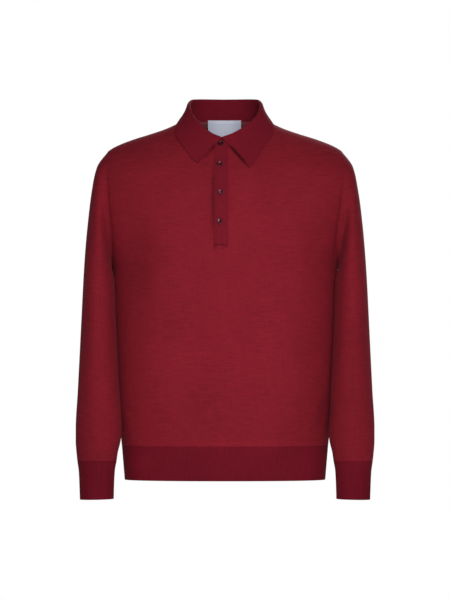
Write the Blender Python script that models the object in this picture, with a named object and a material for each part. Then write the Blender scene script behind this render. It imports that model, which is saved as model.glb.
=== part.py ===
"""A long-sleeved fine-knit polo sweater, filled out as if worn, with nobody in it.

Metres, +Z up. The front faces -Y and the reader's right is +X. The origin is the middle of the neck,
level with the two high shoulder points. Each sewn piece is a thin wall of its own, 0.3 mm from its
neighbours at the seams. The torso is one surface that is worked out from tables of heights, widths
and depths; panels, bands and placket are fields of it, and the sleeves are lofted from its armholes.
"""
import math

import bpy
import numpy as np

# ---- Cloth
SEAM_GAP = 0.0003
OVERLAY_GAP = 0.0005
SLEEVE_CLEARANCE = 0.0013
KNIT = 0.0018
RIB = 0.0022
COLLAR_KNIT = 0.0020
BAND_KNIT = 0.0016
LABEL_THICKNESS = 0.0008

# ---- Heights
HEM = -0.6830
HEM_BAND_TOP = -0.6176
ARMPIT = -0.2810
SHOULDER_POINT = -0.0592
SEAM_LEVEL = -0.0580

# ---- Distances across, from the middle
SHOULDER_ACROSS = 0.2215
NECK_ACROSS = 0.0780
NECK_COLUMN = 0.0735
PLACKET_MIDDLE = -0.0075
SLOT_LEFT = -0.0190
SLOT_RIGHT = 0.0040
SLOT_BOTTOM = -0.2370

# ---- Roundness of the body's rings: 2 is an ellipse, more is boxier
ROUNDNESS = 2.4
# Height over which the shoulder's ridge rounds into the chest and the back
ARCH = 0.070
# Reach of each armhole in front of and behind the shoulder point
ARMHOLE_FRONT = {-1: 0.062, 1: 0.070}
ARMHOLE_BACK = 0.060

# ---- Placket, buttons and label
OVER_LEFT = -0.0206
OVER_RIGHT = 0.0056
OVER_TOP = -0.0418
OVER_BOTTOM = -0.2390
BUTTON_RADIUS = 0.0055
BUTTON_THICKNESS = 0.0020
LABEL_LEFT = -0.0325
LABEL_RIGHT = 0.0306
LABEL_TOP = 0.0012
LABEL_BOTTOM = -0.0440
LABEL_SET_IN = 0.0048
LABEL_LEAN = 0.14

# ---- Collar
CLOSURE = -0.0062
CLOSURE_GAP = 0.0002
# Angle past which a station is the collar's own front end
CLOSURE_ANGLE = 178.0
STAND_SEAT = 0.0018
FRONT_SEAT_LESS = 0.0004
FALL_CLEARANCE = 0.0026
SHOULDER_LIFT = 0.0012


def table(text):
    """A table written as text: the first line names the columns."""
    lines = [line.split() for line in text.strip().splitlines()]
    numbers = np.array(lines[1:], dtype=float)
    return dict(zip(lines[0], numbers.T))


BODY = table("""
height   half_width  front_depth  back_depth
-0.6830  0.1905      0.0960       0.0930
-0.6530  0.1930      0.0980       0.0940
-0.6176  0.1960      0.1000       0.0955
-0.5890  0.1990      0.1035       0.0975
-0.5300  0.2050      0.1070       0.1000
-0.4500  0.2095      0.1110       0.1025
-0.3550  0.2130      0.1150       0.1055
-0.2810  0.2140      0.1180       0.1085
-0.2200  0.2140      0.1170       0.1100
-0.1500  0.2140      0.1085       0.1080
-0.1000  0.2140      0.0960       0.1030
-0.0600  0.2140      0.0785       0.0950
-0.0360  0.2140      0.0690       0.0880
0.0000   0.2140      0.0610       0.0815
""")

RIDGE = table("""
across   height
0.0000   0.0200
0.0100   0.0200
0.0450   0.0140
0.0780   0.0000
0.0931  -0.0082
0.1121  -0.0168
0.1425  -0.0272
0.1729  -0.0367
0.2033  -0.0485
0.2150  -0.0547
0.2215  -0.0592
""")

ARMHOLE = table("""
height   left_across  right_across
-0.2810  0.2140       0.2140
-0.2700  0.2137       0.2134
-0.2500  0.2128       0.2112
-0.2200  0.2130       0.2100
-0.1850  0.2165       0.2138
-0.1450  0.2205       0.2200
-0.1050  0.2235       0.2260
-0.0800  0.2230       0.2245
-0.0592  0.2215       0.2215
""")

NECKLINE = table("""
across   front_height  back_height
0.0000   -0.0412       -0.0047
0.0200   -0.0385       -0.0046
0.0380   -0.0305       -0.0043
0.0540   -0.0205       -0.0036
0.0660   -0.0118       -0.0025
0.0740   -0.0050       -0.0010
0.0780    0.0000        0.0000
""")

FORWARD_SEAM = table("""
across   height
0.0000   -0.0580
0.1800   -0.0580
0.2050   -0.0605
0.2215   -0.0645
""")

# One row for each section of a sleeve, from just outside the armhole down to the cuff's end
SLEEVE = table("""
outer_across  outer_height  inner_across  inner_height  half_depth  forward_left  forward_right
0.2432        -0.0900       0.2140        -0.2840       0.0690      0.005         0.006
0.2530        -0.1360       0.2125        -0.2880       0.0725      0.012         0.015
0.2600        -0.2000       0.2100        -0.2940       0.0730      0.019         0.025
0.2668        -0.2850       0.2075        -0.3050       0.0715      0.025         0.034
0.2705        -0.3550       0.2060        -0.3620       0.0680      0.030         0.043
0.2745        -0.4350       0.2030        -0.4375       0.0630      0.037         0.051
0.2785        -0.5150       0.1990        -0.5165       0.0570      0.043         0.057
0.2822        -0.5850       0.1950        -0.5855       0.0510      0.048         0.060
0.2822        -0.6080       0.1972        -0.6080       0.0465      0.050         0.060
0.2806        -0.6300       0.2024        -0.6300       0.0410      0.052         0.060
0.2790        -0.6450       0.2046        -0.6450       0.0372      0.053         0.060
0.2762        -0.6660       0.2080        -0.6650       0.0350      0.054         0.060
0.2746        -0.7010       0.2096        -0.7000       0.0335      0.055         0.060
0.2740        -0.7188       0.2100        -0.7174       0.0330      0.056         0.060
""")
CUFF_SECTION = 10

# One row for each station of the collar, by its angle from the back of the neck. The roll is the top
# fold. The fall's edge is where it lies on the panels, seen from the front, on the two sides.
COLLAR = table("""
angle  roll_across  roll_back  roll_top  roll_radius  left_across  left_height  right_across  right_height
0      0.0000       0.0575     0.0414    0.0027       0.0000       -0.0130      0.0000        -0.0130
30     0.0345       0.0495     0.0415    0.0027       0.0440       -0.0125      0.0440        -0.0125
60     0.0585       0.0280     0.0402    0.0027       0.0755       -0.0105      0.0755        -0.0105
78     0.0645       0.0100     0.0352    0.0027       0.0853       -0.0072      0.0853        -0.0072
90     0.0662      -0.0030     0.0300    0.0027       0.0886       -0.0060      0.0884        -0.0060
105    0.0642      -0.0190     0.0210    0.0026       0.0912       -0.0200      0.0900        -0.0190
120    0.0585      -0.0350     0.0070    0.0025       0.0908       -0.0350      0.0882        -0.0335
135    0.0475      -0.0490    -0.0050    0.0023       0.0822       -0.0492      0.0780        -0.0490
150    0.0330      -0.0600    -0.0180    0.0021       0.0710       -0.0640      0.0655        -0.0672
165    0.0170      -0.0680    -0.0280    0.0018       0.0605       -0.0785      0.0545        -0.0835
180    0.0000      -0.0710    -0.0345    0.0016       0.0505       -0.0848      0.0458        -0.0942
""")

BUTTONS = table("""
across   height
-0.0080  -0.0477
-0.0103  -0.0866
-0.0092  -0.1394
-0.0103  -0.1940
""")

# Principled BSDF values: red, green, blue (linear), roughness
COLOURS = {
    "body": (0.130, 0.012, 0.020, 0.85),
    "rib": (0.105, 0.009, 0.017, 0.85),
    "collar": (0.110, 0.010, 0.018, 0.85),
    "band": (0.108, 0.009, 0.017, 0.80),
    "button": (0.070, 0.010, 0.014, 0.25),
    "label": (0.520, 0.530, 0.600, 0.45),
}


# ---------------------------------------------------------------------------- curves

def smooth(knots, values, at):
    """A smooth curve through the knots that never overshoots them; values may be arrays."""
    knots = np.asarray(knots, dtype=float)
    values = np.asarray(values, dtype=float)
    at = np.clip(np.asarray(at, dtype=float), knots[0], knots[-1])
    extra = (1,) * (values.ndim - 1)
    step = np.diff(knots).reshape(-1, *extra)
    slope = np.diff(values, axis=0) / step
    tangent = np.empty_like(values)
    tangent[0] = slope[0]
    tangent[-1] = slope[-1]
    before, after = slope[:-1], slope[1:]
    weight_before = 2 * step[1:] + step[:-1]
    weight_after = step[1:] + 2 * step[:-1]
    same_way = before * after > 0
    safe_before = np.where(same_way, before, 1.0)
    safe_after = np.where(same_way, after, 1.0)
    harmonic = (weight_before + weight_after) / (weight_before / safe_before + weight_after / safe_after)
    tangent[1:-1] = np.where(same_way, harmonic, 0.0)
    cell = np.clip(np.searchsorted(knots, at, side="right") - 1, 0, len(knots) - 2)
    width = (knots[cell + 1] - knots[cell]).reshape(at.shape + extra)
    part = ((at - knots[cell]).reshape(at.shape + extra)) / width
    start = values[cell] * (1 + 2 * part) * (1 - part) ** 2
    leave = tangent[cell] * width * part * (1 - part) ** 2
    end = values[cell + 1] * part ** 2 * (3 - 2 * part)
    arrive = tangent[cell + 1] * width * part ** 2 * (part - 1)
    return start + leave + end + arrive


def ease(value):
    """0 below 0, 1 above 1, and a smooth step between."""
    value = np.clip(value, 0.0, 1.0)
    return value * value * (3 - 2 * value)


def unit(vectors):
    vectors = np.asarray(vectors, dtype=float)
    length = np.linalg.norm(vectors, axis=-1, keepdims=True)
    return vectors / np.maximum(length, 1e-12)


# ---------------------------------------------------------------------------- the torso's surface

def ridge_height(across):
    return smooth(RIDGE["across"], RIDGE["height"], np.minimum(np.abs(across), SHOULDER_ACROSS))


def side_across(across, height):
    """Distance from the middle to the side seam or the armhole, on the side where 'across' is."""
    below = smooth(BODY["height"], BODY["half_width"], height)
    left = smooth(ARMHOLE["height"], ARMHOLE["left_across"], height)
    right = smooth(ARMHOLE["height"], ARMHOLE["right_across"], height)
    above = np.where(np.asarray(across) < 0, left, right)
    return np.where(np.asarray(height) <= ARMPIT, below, above)


def armhole_depth(across, height, front):
    """Depth of the armhole's edge over the arch's own falling off: it is an ellipse from the side."""
    middle = (SHOULDER_POINT + ARMPIT) / 2
    half = (SHOULDER_POINT - ARMPIT) / 2
    reach_front = np.where(np.asarray(across) < 0, ARMHOLE_FRONT[-1], ARMHOLE_FRONT[1])
    reach = reach_front if front else ARMHOLE_BACK
    level = (height - middle) / half
    fall = (SHOULDER_POINT - height) / ARCH
    low = np.sqrt(np.clip(1 - level ** 2, 0, None))
    high = np.sqrt(np.clip(ARCH / half * (1 + level) / (2 - np.minimum(fall, 1)), 0, None))
    return np.where(np.asarray(height) <= ARMPIT, 0.0, reach * np.where(fall < 1, high, low))


def torso_depth(across, height, front):
    """How far the torso's surface is from the plane of the shoulders, at a place seen from the front."""
    across, height = np.broadcast_arrays(np.asarray(across, float), np.asarray(height, float))
    deepest = smooth(BODY["height"], BODY["front_depth" if front else "back_depth"], height)
    at_edge = (armhole_depth(across, height, front) / deepest) ** ROUNDNESS
    share = np.clip(np.abs(across) / side_across(across, height), 0, 1)
    crown = np.clip(1 - share ** ROUNDNESS * (1 - at_edge), 0, 1) ** (1 / ROUNDNESS)
    fall = np.clip((ridge_height(across) - height) / ARCH, 0, 1)
    return deepest * crown * np.sqrt(fall * (2 - fall))


def height_at(across, run):
    """Height at a distance 'run' over the shoulder's ridge, to the front or, below 0, to the back."""
    turn = np.minimum(np.abs(run) / ARCH, math.pi / 2)
    straight = np.maximum(np.abs(run) - ARCH * math.pi / 2, 0)
    return ridge_height(across) - ARCH * (1 - np.cos(turn)) - straight


def run_at(across, height, front):
    fall = ridge_height(across) - height
    turn = ARCH * np.arccos(np.clip(1 - fall / ARCH, -1, 1))
    run = np.where(fall < ARCH, turn, ARCH * math.pi / 2 + fall - ARCH)
    return run if front else -run


def torso(across, height, front):
    """Point of the torso's outer surface, seen from the front at this place."""
    across, height = np.broadcast_arrays(np.asarray(across, float), np.asarray(height, float))
    depth = torso_depth(across, height, front)
    return np.stack([across, -depth if front else depth, height], axis=-1)


def torso_by_run(across, run):
    height = height_at(across, run)
    front = torso(across, height, True)
    back = torso(across, height, False)
    return np.where((np.asarray(run) > 0)[..., None], front, back)


def torso_normal(across, height, front):
    step = 0.0005
    to_side = torso(across + step, height, front) - torso(across - step, height, front)
    upward = torso(across, height + step, front) - torso(across, height - step, front)
    normal = unit(np.cross(to_side, upward))
    return normal if front else -normal


# ---------------------------------------------------------------------------- columns and rows

def columns(shoulder, neck_left, slot, neck_right):
    """Places of the torso's columns at shoulder level, from the left armhole to the right one."""
    breaks = [-SHOULDER_ACROSS, -NECK_COLUMN, SLOT_LEFT, SLOT_RIGHT, NECK_COLUMN, SHOULDER_ACROSS]
    counts = [shoulder, neck_left, slot, neck_right, shoulder]
    runs = [np.linspace(a, b, n, endpoint=False) for a, b, n in zip(breaks, breaks[1:], counts)]
    return np.concatenate(runs + [breaks[-1:]])


def column_share(column):
    """Share of the half width that a column has at the armpit and below, evenly round the ring."""
    size = np.abs(column)
    straight = np.arcsin((size / SHOULDER_ACROSS) ** (ROUNDNESS / 2))
    even = math.pi / 2 * size / SHOULDER_ACROSS
    mix = ease((size - 0.03) / (SHOULDER_ACROSS - 0.03))
    angle = straight * (1 - mix) + even * mix
    return np.sign(column) * np.sin(angle) ** (2 / ROUNDNESS)


def neckline_across(column):
    """Where a column meets the neckline: straight up in the middle, evenly round near the shoulders."""
    size = np.abs(column)
    even = NECK_ACROSS * np.sin(math.pi / 2 * np.minimum(size / NECK_COLUMN, 1))
    mix = ease((size - 0.020) / 0.035)
    return np.sign(column) * (size * (1 - mix) + even * mix)


def armhole_rows(count, top_height, front):
    """Rows from the armpit up, as shares of the run to 'top_height', dense at the armpit."""
    middle = (SHOULDER_POINT + ARMPIT) / 2
    half = (SHOULDER_POINT - ARMPIT) / 2
    last = math.acos(min((top_height - middle) / half, 1.0))
    heights = middle + half * np.cos(np.linspace(math.pi, last, count + 1))
    runs = run_at(SHOULDER_ACROSS, heights, front)
    return (runs - runs[0]) / (runs[-1] - runs[0])


def field_above_armpit(column, rows, top_across, top_run, front):
    """Points from the armpit level to a top edge that is given as places and runs."""
    low_share = column_share(column)
    low_run = run_at(low_share * side_across(low_share, ARMPIT), ARMPIT, front)
    top_share = top_across / SHOULDER_ACROSS
    share = low_share + (top_share - low_share) * rows[:, None]
    run = low_run + (top_run - low_run) * rows[:, None]
    across = share * SHOULDER_ACROSS
    for _ in range(4):
        height = np.maximum(height_at(across, run), ARMPIT)
        across = share * side_across(share, height)
    return torso(across, height_at(across, run), front)


def slot_row(column, rows, seam_run):
    """Moves the nearest row to the height of the slot's lower end."""
    middle = np.array([PLACKET_MIDDLE])
    low_run = run_at(middle, ARMPIT, True)
    want = (run_at(middle, SLOT_BOTTOM, True) - low_run) / (seam_run - low_run)
    nearest = int(np.argmin(np.abs(rows - want)))
    rows = rows.copy()
    rows[nearest] = want[0]
    return rows, nearest


# ---------------------------------------------------------------------------- the skin

class Skin:
    """A welded outer surface whose faces belong to named pieces."""

    def __init__(self):
        self.points = []
        self.found = {}
        self.faces = []
        self.names = []

    def corner(self, point):
        key = tuple(np.round(np.asarray(point) * 1e6 + 0.137).astype(int))
        if key not in self.found:
            self.found[key] = len(self.points)
            self.points.append(np.asarray(point, float))
        return self.found[key]

    def add(self, grid, name, flip=False):
        """Adds a grid of points; 'name' is a piece, or a function of row and column that gives one."""
        index = [[self.corner(p) for p in row] for row in grid]
        for i in range(len(index) - 1):
            for j in range(len(index[0]) - 1):
                ring = [index[i][j], index[i][j + 1], index[i + 1][j + 1], index[i + 1][j]]
                ring = [v for k, v in enumerate(ring) if v != ring[k - 1]]
                for face in self.halves(ring[::-1] if flip else ring):
                    self.faces.append(face)
                    self.names.append(name(i, j) if callable(name) else name)

    def halves(self, ring):
        """A quad cut along its shorter diagonal; a triangle stays whole."""
        if len(ring) < 4:
            return [ring] if len(ring) == 3 else []
        a, b, c, d = ring
        first = np.linalg.norm(self.points[a] - self.points[c])
        second = np.linalg.norm(self.points[b] - self.points[d])
        return [[a, b, c], [a, c, d]] if first <= second else [[a, b, d], [b, c, d]]

    def face_normal(self, face):
        ring = np.array([self.points[v] for v in face])
        return np.cross(ring - ring[0], np.roll(ring, -1, axis=0) - ring[0]).sum(axis=0)

    def normals(self, faces):
        total = {}
        for face in faces:
            normal = self.face_normal(face)
            for v in face:
                total[v] = total.get(v, 0) + normal
        return {v: unit(n) for v, n in total.items()}


def wall(skin, name, outward, inward, gap=SEAM_GAP / 2, shared=None):
    """A closed wall from one piece of the skin: its points moved out, the same moved in, and rims."""
    faces = [face for face, piece in zip(skin.faces, skin.names) if piece == name]
    own = skin.normals(faces)
    shared = own if shared is None else shared
    normal = {v: shared[v] if np.dot(shared[v], own[v]) > 0.5 else own[v] for v in own}
    edges = {(a, b) for face in faces for a, b in zip(face, face[1:] + face[:1])}
    border = [(a, b) for a, b in edges if (b, a) not in edges]
    following = dict(border)
    leading = {b: a for a, b in border}
    order = sorted(own)
    place = {v: k for k, v in enumerate(order)}
    outer, inner = [], []
    for v in order:
        point = skin.points[v]
        if v in following:
            toward = unit(skin.points[following[v]] - point)
            along = unit(point - skin.points[leading[v]])
            first = unit(np.cross(normal[v], along))
            second = unit(np.cross(normal[v], toward))
            point = point + gap * (first + second) / max(1 + float(np.dot(first, second)), 0.5)
        outer.append(point + normal[v] * outward)
        inner.append(point + normal[v] * inward)
    count = len(order)
    sheet = [[place[v] for v in face] for face in faces]
    back = [[v + count for v in reversed(face)] for face in sheet]
    rims = [[place[b], place[a], place[a] + count, place[b] + count] for a, b in sorted(border)]
    return np.array(outer + inner), sheet + back + rims


# ---------------------------------------------------------------------------- fields of the torso

def torso_fields(skin, column, band_rows, body_rows, chest_rows, strip_rows):
    """Adds front, back, hem band and the field under the placket, and gives the armholes' loops."""
    share = column_share(column)
    neck = np.abs(column) <= NECK_COLUMN + 1e-9
    left = column <= -NECK_COLUMN + 1e-9
    right = column >= NECK_COLUMN - 1e-9
    slot = (column[:-1] > SLOT_LEFT - 1e-9) & (column[1:] < SLOT_RIGHT + 1e-9)
    for front in (True, False):
        side = "front" if front else "back"
        for heights, piece in (
            (np.linspace(HEM, HEM_BAND_TOP, band_rows + 1), "hem_" + side),
            (np.linspace(HEM_BAND_TOP, ARMPIT, body_rows + 1), side),
        ):
            width = side_across(share, heights[:, None])
            skin.add(torso(share * width, heights[:, None], front), piece, flip=not front)

    seam_height = smooth(FORWARD_SEAM["across"], FORWARD_SEAM["height"], np.abs(column))
    seam_run = run_at(column, seam_height, True)
    rows = armhole_rows(chest_rows, FORWARD_SEAM["height"][-1], True)
    rows, slot_start = slot_row(column, rows, float(run_at(PLACKET_MIDDLE, SEAM_LEVEL, True)))
    chest = field_above_armpit(column, rows, column, seam_run, True)
    skin.add(chest, lambda i, j: "placket_under" if slot[j] and i >= slot_start else "front")

    neck_across = neckline_across(column[neck])
    front_height = smooth(NECKLINE["across"], NECKLINE["front_height"], np.abs(neck_across))
    front_run = run_at(neck_across, front_height, True)
    part = np.linspace(0, 1, strip_rows + 1)[:, None]
    across = column[neck] * (1 - part) + neck_across * part
    throat = torso_by_run(across, seam_run[neck] * (1 - part) + front_run * part)
    throat[0] = chest[-1][neck]
    skin.add(throat, lambda i, j: "placket_under" if slot[neck.argmax() + j] else "front")

    ridge_across = np.where(
        neck,
        np.sign(column) * NECK_ACROSS,
        np.sign(column) * np.interp(np.abs(column), [NECK_COLUMN, SHOULDER_ACROSS],
                                    [NECK_ACROSS, SHOULDER_ACROSS]),
    )
    back_across = neckline_across(column)
    back_height = smooth(NECKLINE["across"], NECKLINE["back_height"], np.abs(back_across))
    back_run = np.where(neck, run_at(back_across, back_height, False), 0.0)
    top_across = np.where(neck, back_across, ridge_across)
    rows = armhole_rows(chest_rows + 1, SHOULDER_POINT, False)
    shoulders = field_above_armpit(column, rows, top_across, back_run, False)
    skin.add(shoulders, "back", flip=True)

    strips = {}
    for side, here in ((-1, left), (1, right)):
        across = column[here] * (1 - part) + ridge_across[here] * part
        strip = torso_by_run(across, seam_run[here] * (1 - part))
        strip[0] = chest[-1][here]
        strip[-1] = shoulders[-1][here]
        inner = -1 if side < 0 else 0
        strip[:, inner] = np.array([
            torso_by_run(a, r) for a, r in zip(across[:, inner], seam_run[here][inner] * (1 - part[:, 0]))
        ])
        strips[side] = strip
        skin.add(strip, "back")
    return chest, shoulders, strips


def armhole_loop(chest, shoulders, strips, side):
    """The armhole from the shoulder point down the front to the armpit and up the back."""
    edge = 0 if side < 0 else -1
    strip = strips[side][::-1, edge]
    front = chest[::-1, edge]
    back = shoulders[:, edge]
    return np.concatenate([strip[:-1], front[:-1], back])


def body_clearance(points, loop, gap, softness):
    """Moves a sleeve's points outward until they are just clear of the torso's side."""
    size = np.abs(points[..., 0])
    height = np.minimum(points[..., 2], SHOULDER_POINT)
    inside = np.sign(points[..., 0]) * 0.1
    away = np.linalg.norm(points - loop, axis=-1)
    shares = []
    for front in (True, False):
        deepest = smooth(BODY["height"], BODY["front_depth" if front else "back_depth"], height)
        at_edge = (armhole_depth(inside, height, front) / deepest) ** ROUNDNESS
        crown = np.clip((np.abs(points[..., 1]) / deepest) ** ROUNDNESS, at_edge, 1)
        shares.append(((1 - crown) / (1 - at_edge)) ** (1 / ROUNDNESS))
    share = np.where(points[..., 1] < 0, shares[0], shares[1])
    fade = ease(away / 0.025)
    side = side_across(inside, height) * share + gap * fade
    soft = softness * fade + 1e-5
    spare = np.minimum((size - side) / soft, 60)
    moved = np.where(spare < 60, side + soft * np.logaddexp(0, spare), size)
    result = points.copy()
    result[..., 0] = np.sign(points[..., 0]) * moved
    return result


def sleeve_rings(loop, side, steps):
    """Rings of a sleeve from the armhole to the cuff's end, and the row where the cuff starts."""
    middle = (SHOULDER_POINT + ARMPIT) / 2
    half = (SHOULDER_POINT - ARMPIT) / 2
    turn = np.arccos(np.clip((loop[:, 2] - middle) / half, -1, 1))
    armpit = int(np.argmin(loop[:, 2]))
    angle = np.where(np.arange(len(loop)) <= armpit, turn, 2 * math.pi - turn)[:, None]
    forward = SLEEVE["forward_left"] if side < 0 else SLEEVE["forward_right"]
    rings = [loop]
    for row in range(len(forward)):
        outer = np.array([side * SLEEVE["outer_across"][row], -forward[row], SLEEVE["outer_height"][row]])
        inner = np.array([side * SLEEVE["inner_across"][row], -forward[row], SLEEVE["inner_height"][row]])
        deep = np.array([0.0, -SLEEVE["half_depth"][row], 0.0])
        rings.append((outer + inner) / 2 + (outer - inner) / 2 * np.cos(angle) + deep * np.sin(angle))
    rings = np.array(rings)
    spread = np.linalg.norm(np.diff(rings, axis=0), axis=-1).mean(axis=1)
    knots = np.concatenate([[0], np.cumsum(spread)])
    at = np.concatenate([np.linspace(a, b, n, endpoint=False) for a, b, n in zip(knots, knots[1:], steps)])
    at = np.append(at, knots[-1])
    lofted = smooth(knots, rings, at)
    lofted[1:] = body_clearance(lofted[1:], loop, SLEEVE_CLEARANCE, 0.0010)
    lofted[:, -1] = lofted[:, 0]
    return lofted, sum(steps[:CUFF_SECTION + 1])


# ---------------------------------------------------------------------------- the collar

def neck_stations(column):
    """Neckline points all round from the closure's left side, over the back, to its right side."""
    neck = column[np.abs(column) <= NECK_COLUMN + 1e-9]
    left = neck[neck < CLOSURE - 0.004][::-1]
    right = neck[neck > CLOSURE + 0.004]
    left = np.concatenate([[CLOSURE - CLOSURE_GAP], left])
    right = np.concatenate([[CLOSURE + CLOSURE_GAP], right])
    stations = []
    for side, part in ((-1, left), (1, right)):
        reach = NECK_COLUMN - side * CLOSURE
        angle = 180 - 90 * np.abs(part - CLOSURE) / reach
        stations.append([(side, True, c, a) for c, a in zip(part, angle)])
    back = [(-1 if c < 0 else 1, False, c, 90 * abs(c) / NECK_COLUMN) for c in neck[1:-1]]
    return stations[0] + back + stations[1][::-1]


def clear_of_panels(point, clearance):
    """Lifts a point of the fall until the collar's thickness is clear of the panel under it."""
    across, depth, height = point
    if height > float(ridge_height(across)) - 0.0003:
        return point
    front = depth < 0
    normal = torso_normal(across, height - 0.0005, front)
    away = (abs(depth) - float(torso_depth(across, height, front))) * abs(normal[1])
    soft = 0.0003
    lift = soft * np.logaddexp(0, (clearance - away) / soft)
    return point + normal * lift


def collar_section(side, front, column, angle, stand_steps, roll_steps, fall_steps):
    """The collar's middle surface at one station: up the stand, over the roll and down the fall."""
    across = float(neckline_across(column))
    name = "front_height" if front else "back_height"
    height = float(smooth(NECKLINE["across"], NECKLINE[name], abs(across)))
    seam = torso(across, height, front)
    normal = torso_normal(across, height - 0.001, front)
    row = {key: float(smooth(COLLAR["angle"], COLLAR[key], angle)) for key in COLLAR}
    shift = CLOSURE * ease((angle - 120) / 60)
    if angle > CLOSURE_ANGLE:
        shift = across
    roll_across = shift + side * row["roll_across"] if abs(column) > 1e-9 else shift
    radius = row["roll_radius"]
    top = row["roll_top"] - COLLAR_KNIT / 2
    around = math.radians(angle)
    parting = ease((angle - 150) / 30)
    outward = np.array([side * math.sin(around), math.cos(around), 0.0])
    inner = np.array([roll_across, row["roll_back"], top - radius])
    lean = unit(inner - seam)
    seat = unit(lean - normal * np.dot(lean, normal))
    base = seam - normal * KNIT / 2 + seat * (STAND_SEAT - FRONT_SEAT_LESS * parting)
    centre = inner + outward * radius
    outer = centre + outward * radius
    edge_across = side * row["left_across" if side < 0 else "right_across"]
    edge_height = row["left_height" if side < 0 else "right_height"]
    edge_height = min(edge_height, float(ridge_height(edge_across)))
    on_panel = torso(edge_across, edge_height, front)
    edge_normal = torso_normal(edge_across, edge_height - 0.0015, front)
    edge = on_panel + edge_normal * (SEAM_GAP + COLLAR_KNIT / 2 + 0.0003)
    way = unit(edge - outer)
    flat = ease((angle - 90) / 40)
    arrive = unit(way - edge_normal * np.dot(way, edge_normal) * (0.2 + 0.6 * flat))
    leave = unit(outward * 0.30 + way * flat * 0.5 + np.array([side * 1.6 * parting, 0.0, -1.0]))
    length = np.linalg.norm(edge - outer)
    soon = length * (0.36 - 0.24 * parting)
    knots = [outer, outer + leave * soon, edge - arrive * length * 0.36, edge]

    points = [base + (inner - base) * t for t in np.linspace(0, 1, stand_steps, endpoint=False)]
    for t in np.linspace(0, math.pi, roll_steps, endpoint=False):
        points.append(centre - outward * radius * math.cos(t) + np.array([0, 0, radius * math.sin(t)]))
    for t in np.linspace(0, 1, fall_steps + 1):
        weights = [(1 - t) ** 3, 3 * t * (1 - t) ** 2, 3 * t * t * (1 - t), t ** 3]
        lift = FALL_CLEARANCE + SHOULDER_LIFT * ease((135 - angle) / 30)
        points.append(clear_of_panels(sum(w * k for w, k in zip(weights, knots)), lift))
    return points


def collar_skin(column, stand_steps, roll_steps, fall_steps):
    skin = Skin()
    steps = (stand_steps, roll_steps, fall_steps)
    skin.add(np.array([collar_section(*station, *steps) for station in neck_stations(column)]), "collar")
    return skin


# ---------------------------------------------------------------------------- placket, label, buttons

def placket_skin(across_steps, height_steps):
    skin = Skin()
    across = np.linspace(OVER_LEFT, OVER_RIGHT, across_steps + 1)
    heights = np.linspace(OVER_BOTTOM, OVER_TOP, height_steps + 1)[:, None]
    skin.add(torso(across, heights, True), "placket_over")
    return skin


def label_skin(across_steps, height_steps):
    """The label hangs inside the back neck from the collar's seat, leaning back a little."""
    skin = Skin()
    heights = np.linspace(LABEL_BOTTOM, LABEL_TOP, height_steps + 1)[:, None]
    across = np.linspace(LABEL_LEFT, LABEL_RIGHT, across_steps + 1)
    seam_height = smooth(NECKLINE["across"], NECKLINE["back_height"], np.abs(across))
    seam_depth = torso_depth(across, seam_height, False)
    below = np.maximum(seam_height - heights, 0)
    depth = seam_depth - LABEL_SET_IN + LABEL_LEAN * below
    grid = np.stack(np.broadcast_arrays(across, depth, heights), axis=-1)
    skin.add(grid, "neck_label")
    return skin


def button(across, height, segments):
    """A dished round button that lies on the placket's over band."""
    lift = OVERLAY_GAP + BAND_KNIT + SEAM_GAP
    normal = torso_normal(across, height, True)
    seat = torso(across, height, True) + normal * lift
    side = unit(np.cross([0.0, 0.0, 1.0], normal))
    up = np.cross(normal, side)
    radius, thick = BUTTON_RADIUS, BUTTON_THICKNESS
    profile = [
        (radius * 0.80, 0.0),
        (radius * 0.97, thick * 0.35),
        (radius, thick * 0.70),
        (radius * 0.86, thick),
        (radius * 0.66, thick * 0.80),
        (radius * 0.40, thick * 0.66),
    ]
    rings = []
    for distance, level in profile:
        for k in range(segments):
            turn = 2 * math.pi * k / segments
            rings.append(seat + distance * (math.cos(turn) * side + math.sin(turn) * up) + normal * level)
    bottom, top = len(rings), len(rings) + 1
    rings.append(seat)
    rings.append(seat + normal * thick * 0.62)
    faces = []
    for ring in range(len(profile) - 1):
        for k in range(segments):
            low, high = ring * segments, (ring + 1) * segments
            step = (k + 1) % segments
            faces.append([low + k, low + step, high + step, high + k])
    last = (len(profile) - 1) * segments
    for k in range(segments):
        step = (k + 1) % segments
        faces.append([bottom, step, k])
        faces.append([top, last + k, last + step])
    return np.array(rings), faces


# ---------------------------------------------------------------------------- objects

def material(name):
    red, green, blue, roughness = COLOURS[name]
    made = bpy.data.materials.new("cloth_" + name)
    made.use_nodes = True
    shader = made.node_tree.nodes["Principled BSDF"]
    shader.inputs["Base Color"].default_value = (red, green, blue, 1.0)
    shader.inputs["Roughness"].default_value = roughness
    shader.inputs["Metallic"].default_value = 0.0
    return made


def make_object(name, points, faces, colour):
    mesh = bpy.data.meshes.new(name)
    mesh.from_pydata([tuple(p) for p in points], [], faces)
    mesh.materials.append(material(colour))
    mesh.shade_smooth()
    mesh.set_sharp_from_angle(angle=math.radians(50))
    mesh.update()
    made = bpy.data.objects.new(name, mesh)
    bpy.context.scene.collection.objects.link(made)
    return made


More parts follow.
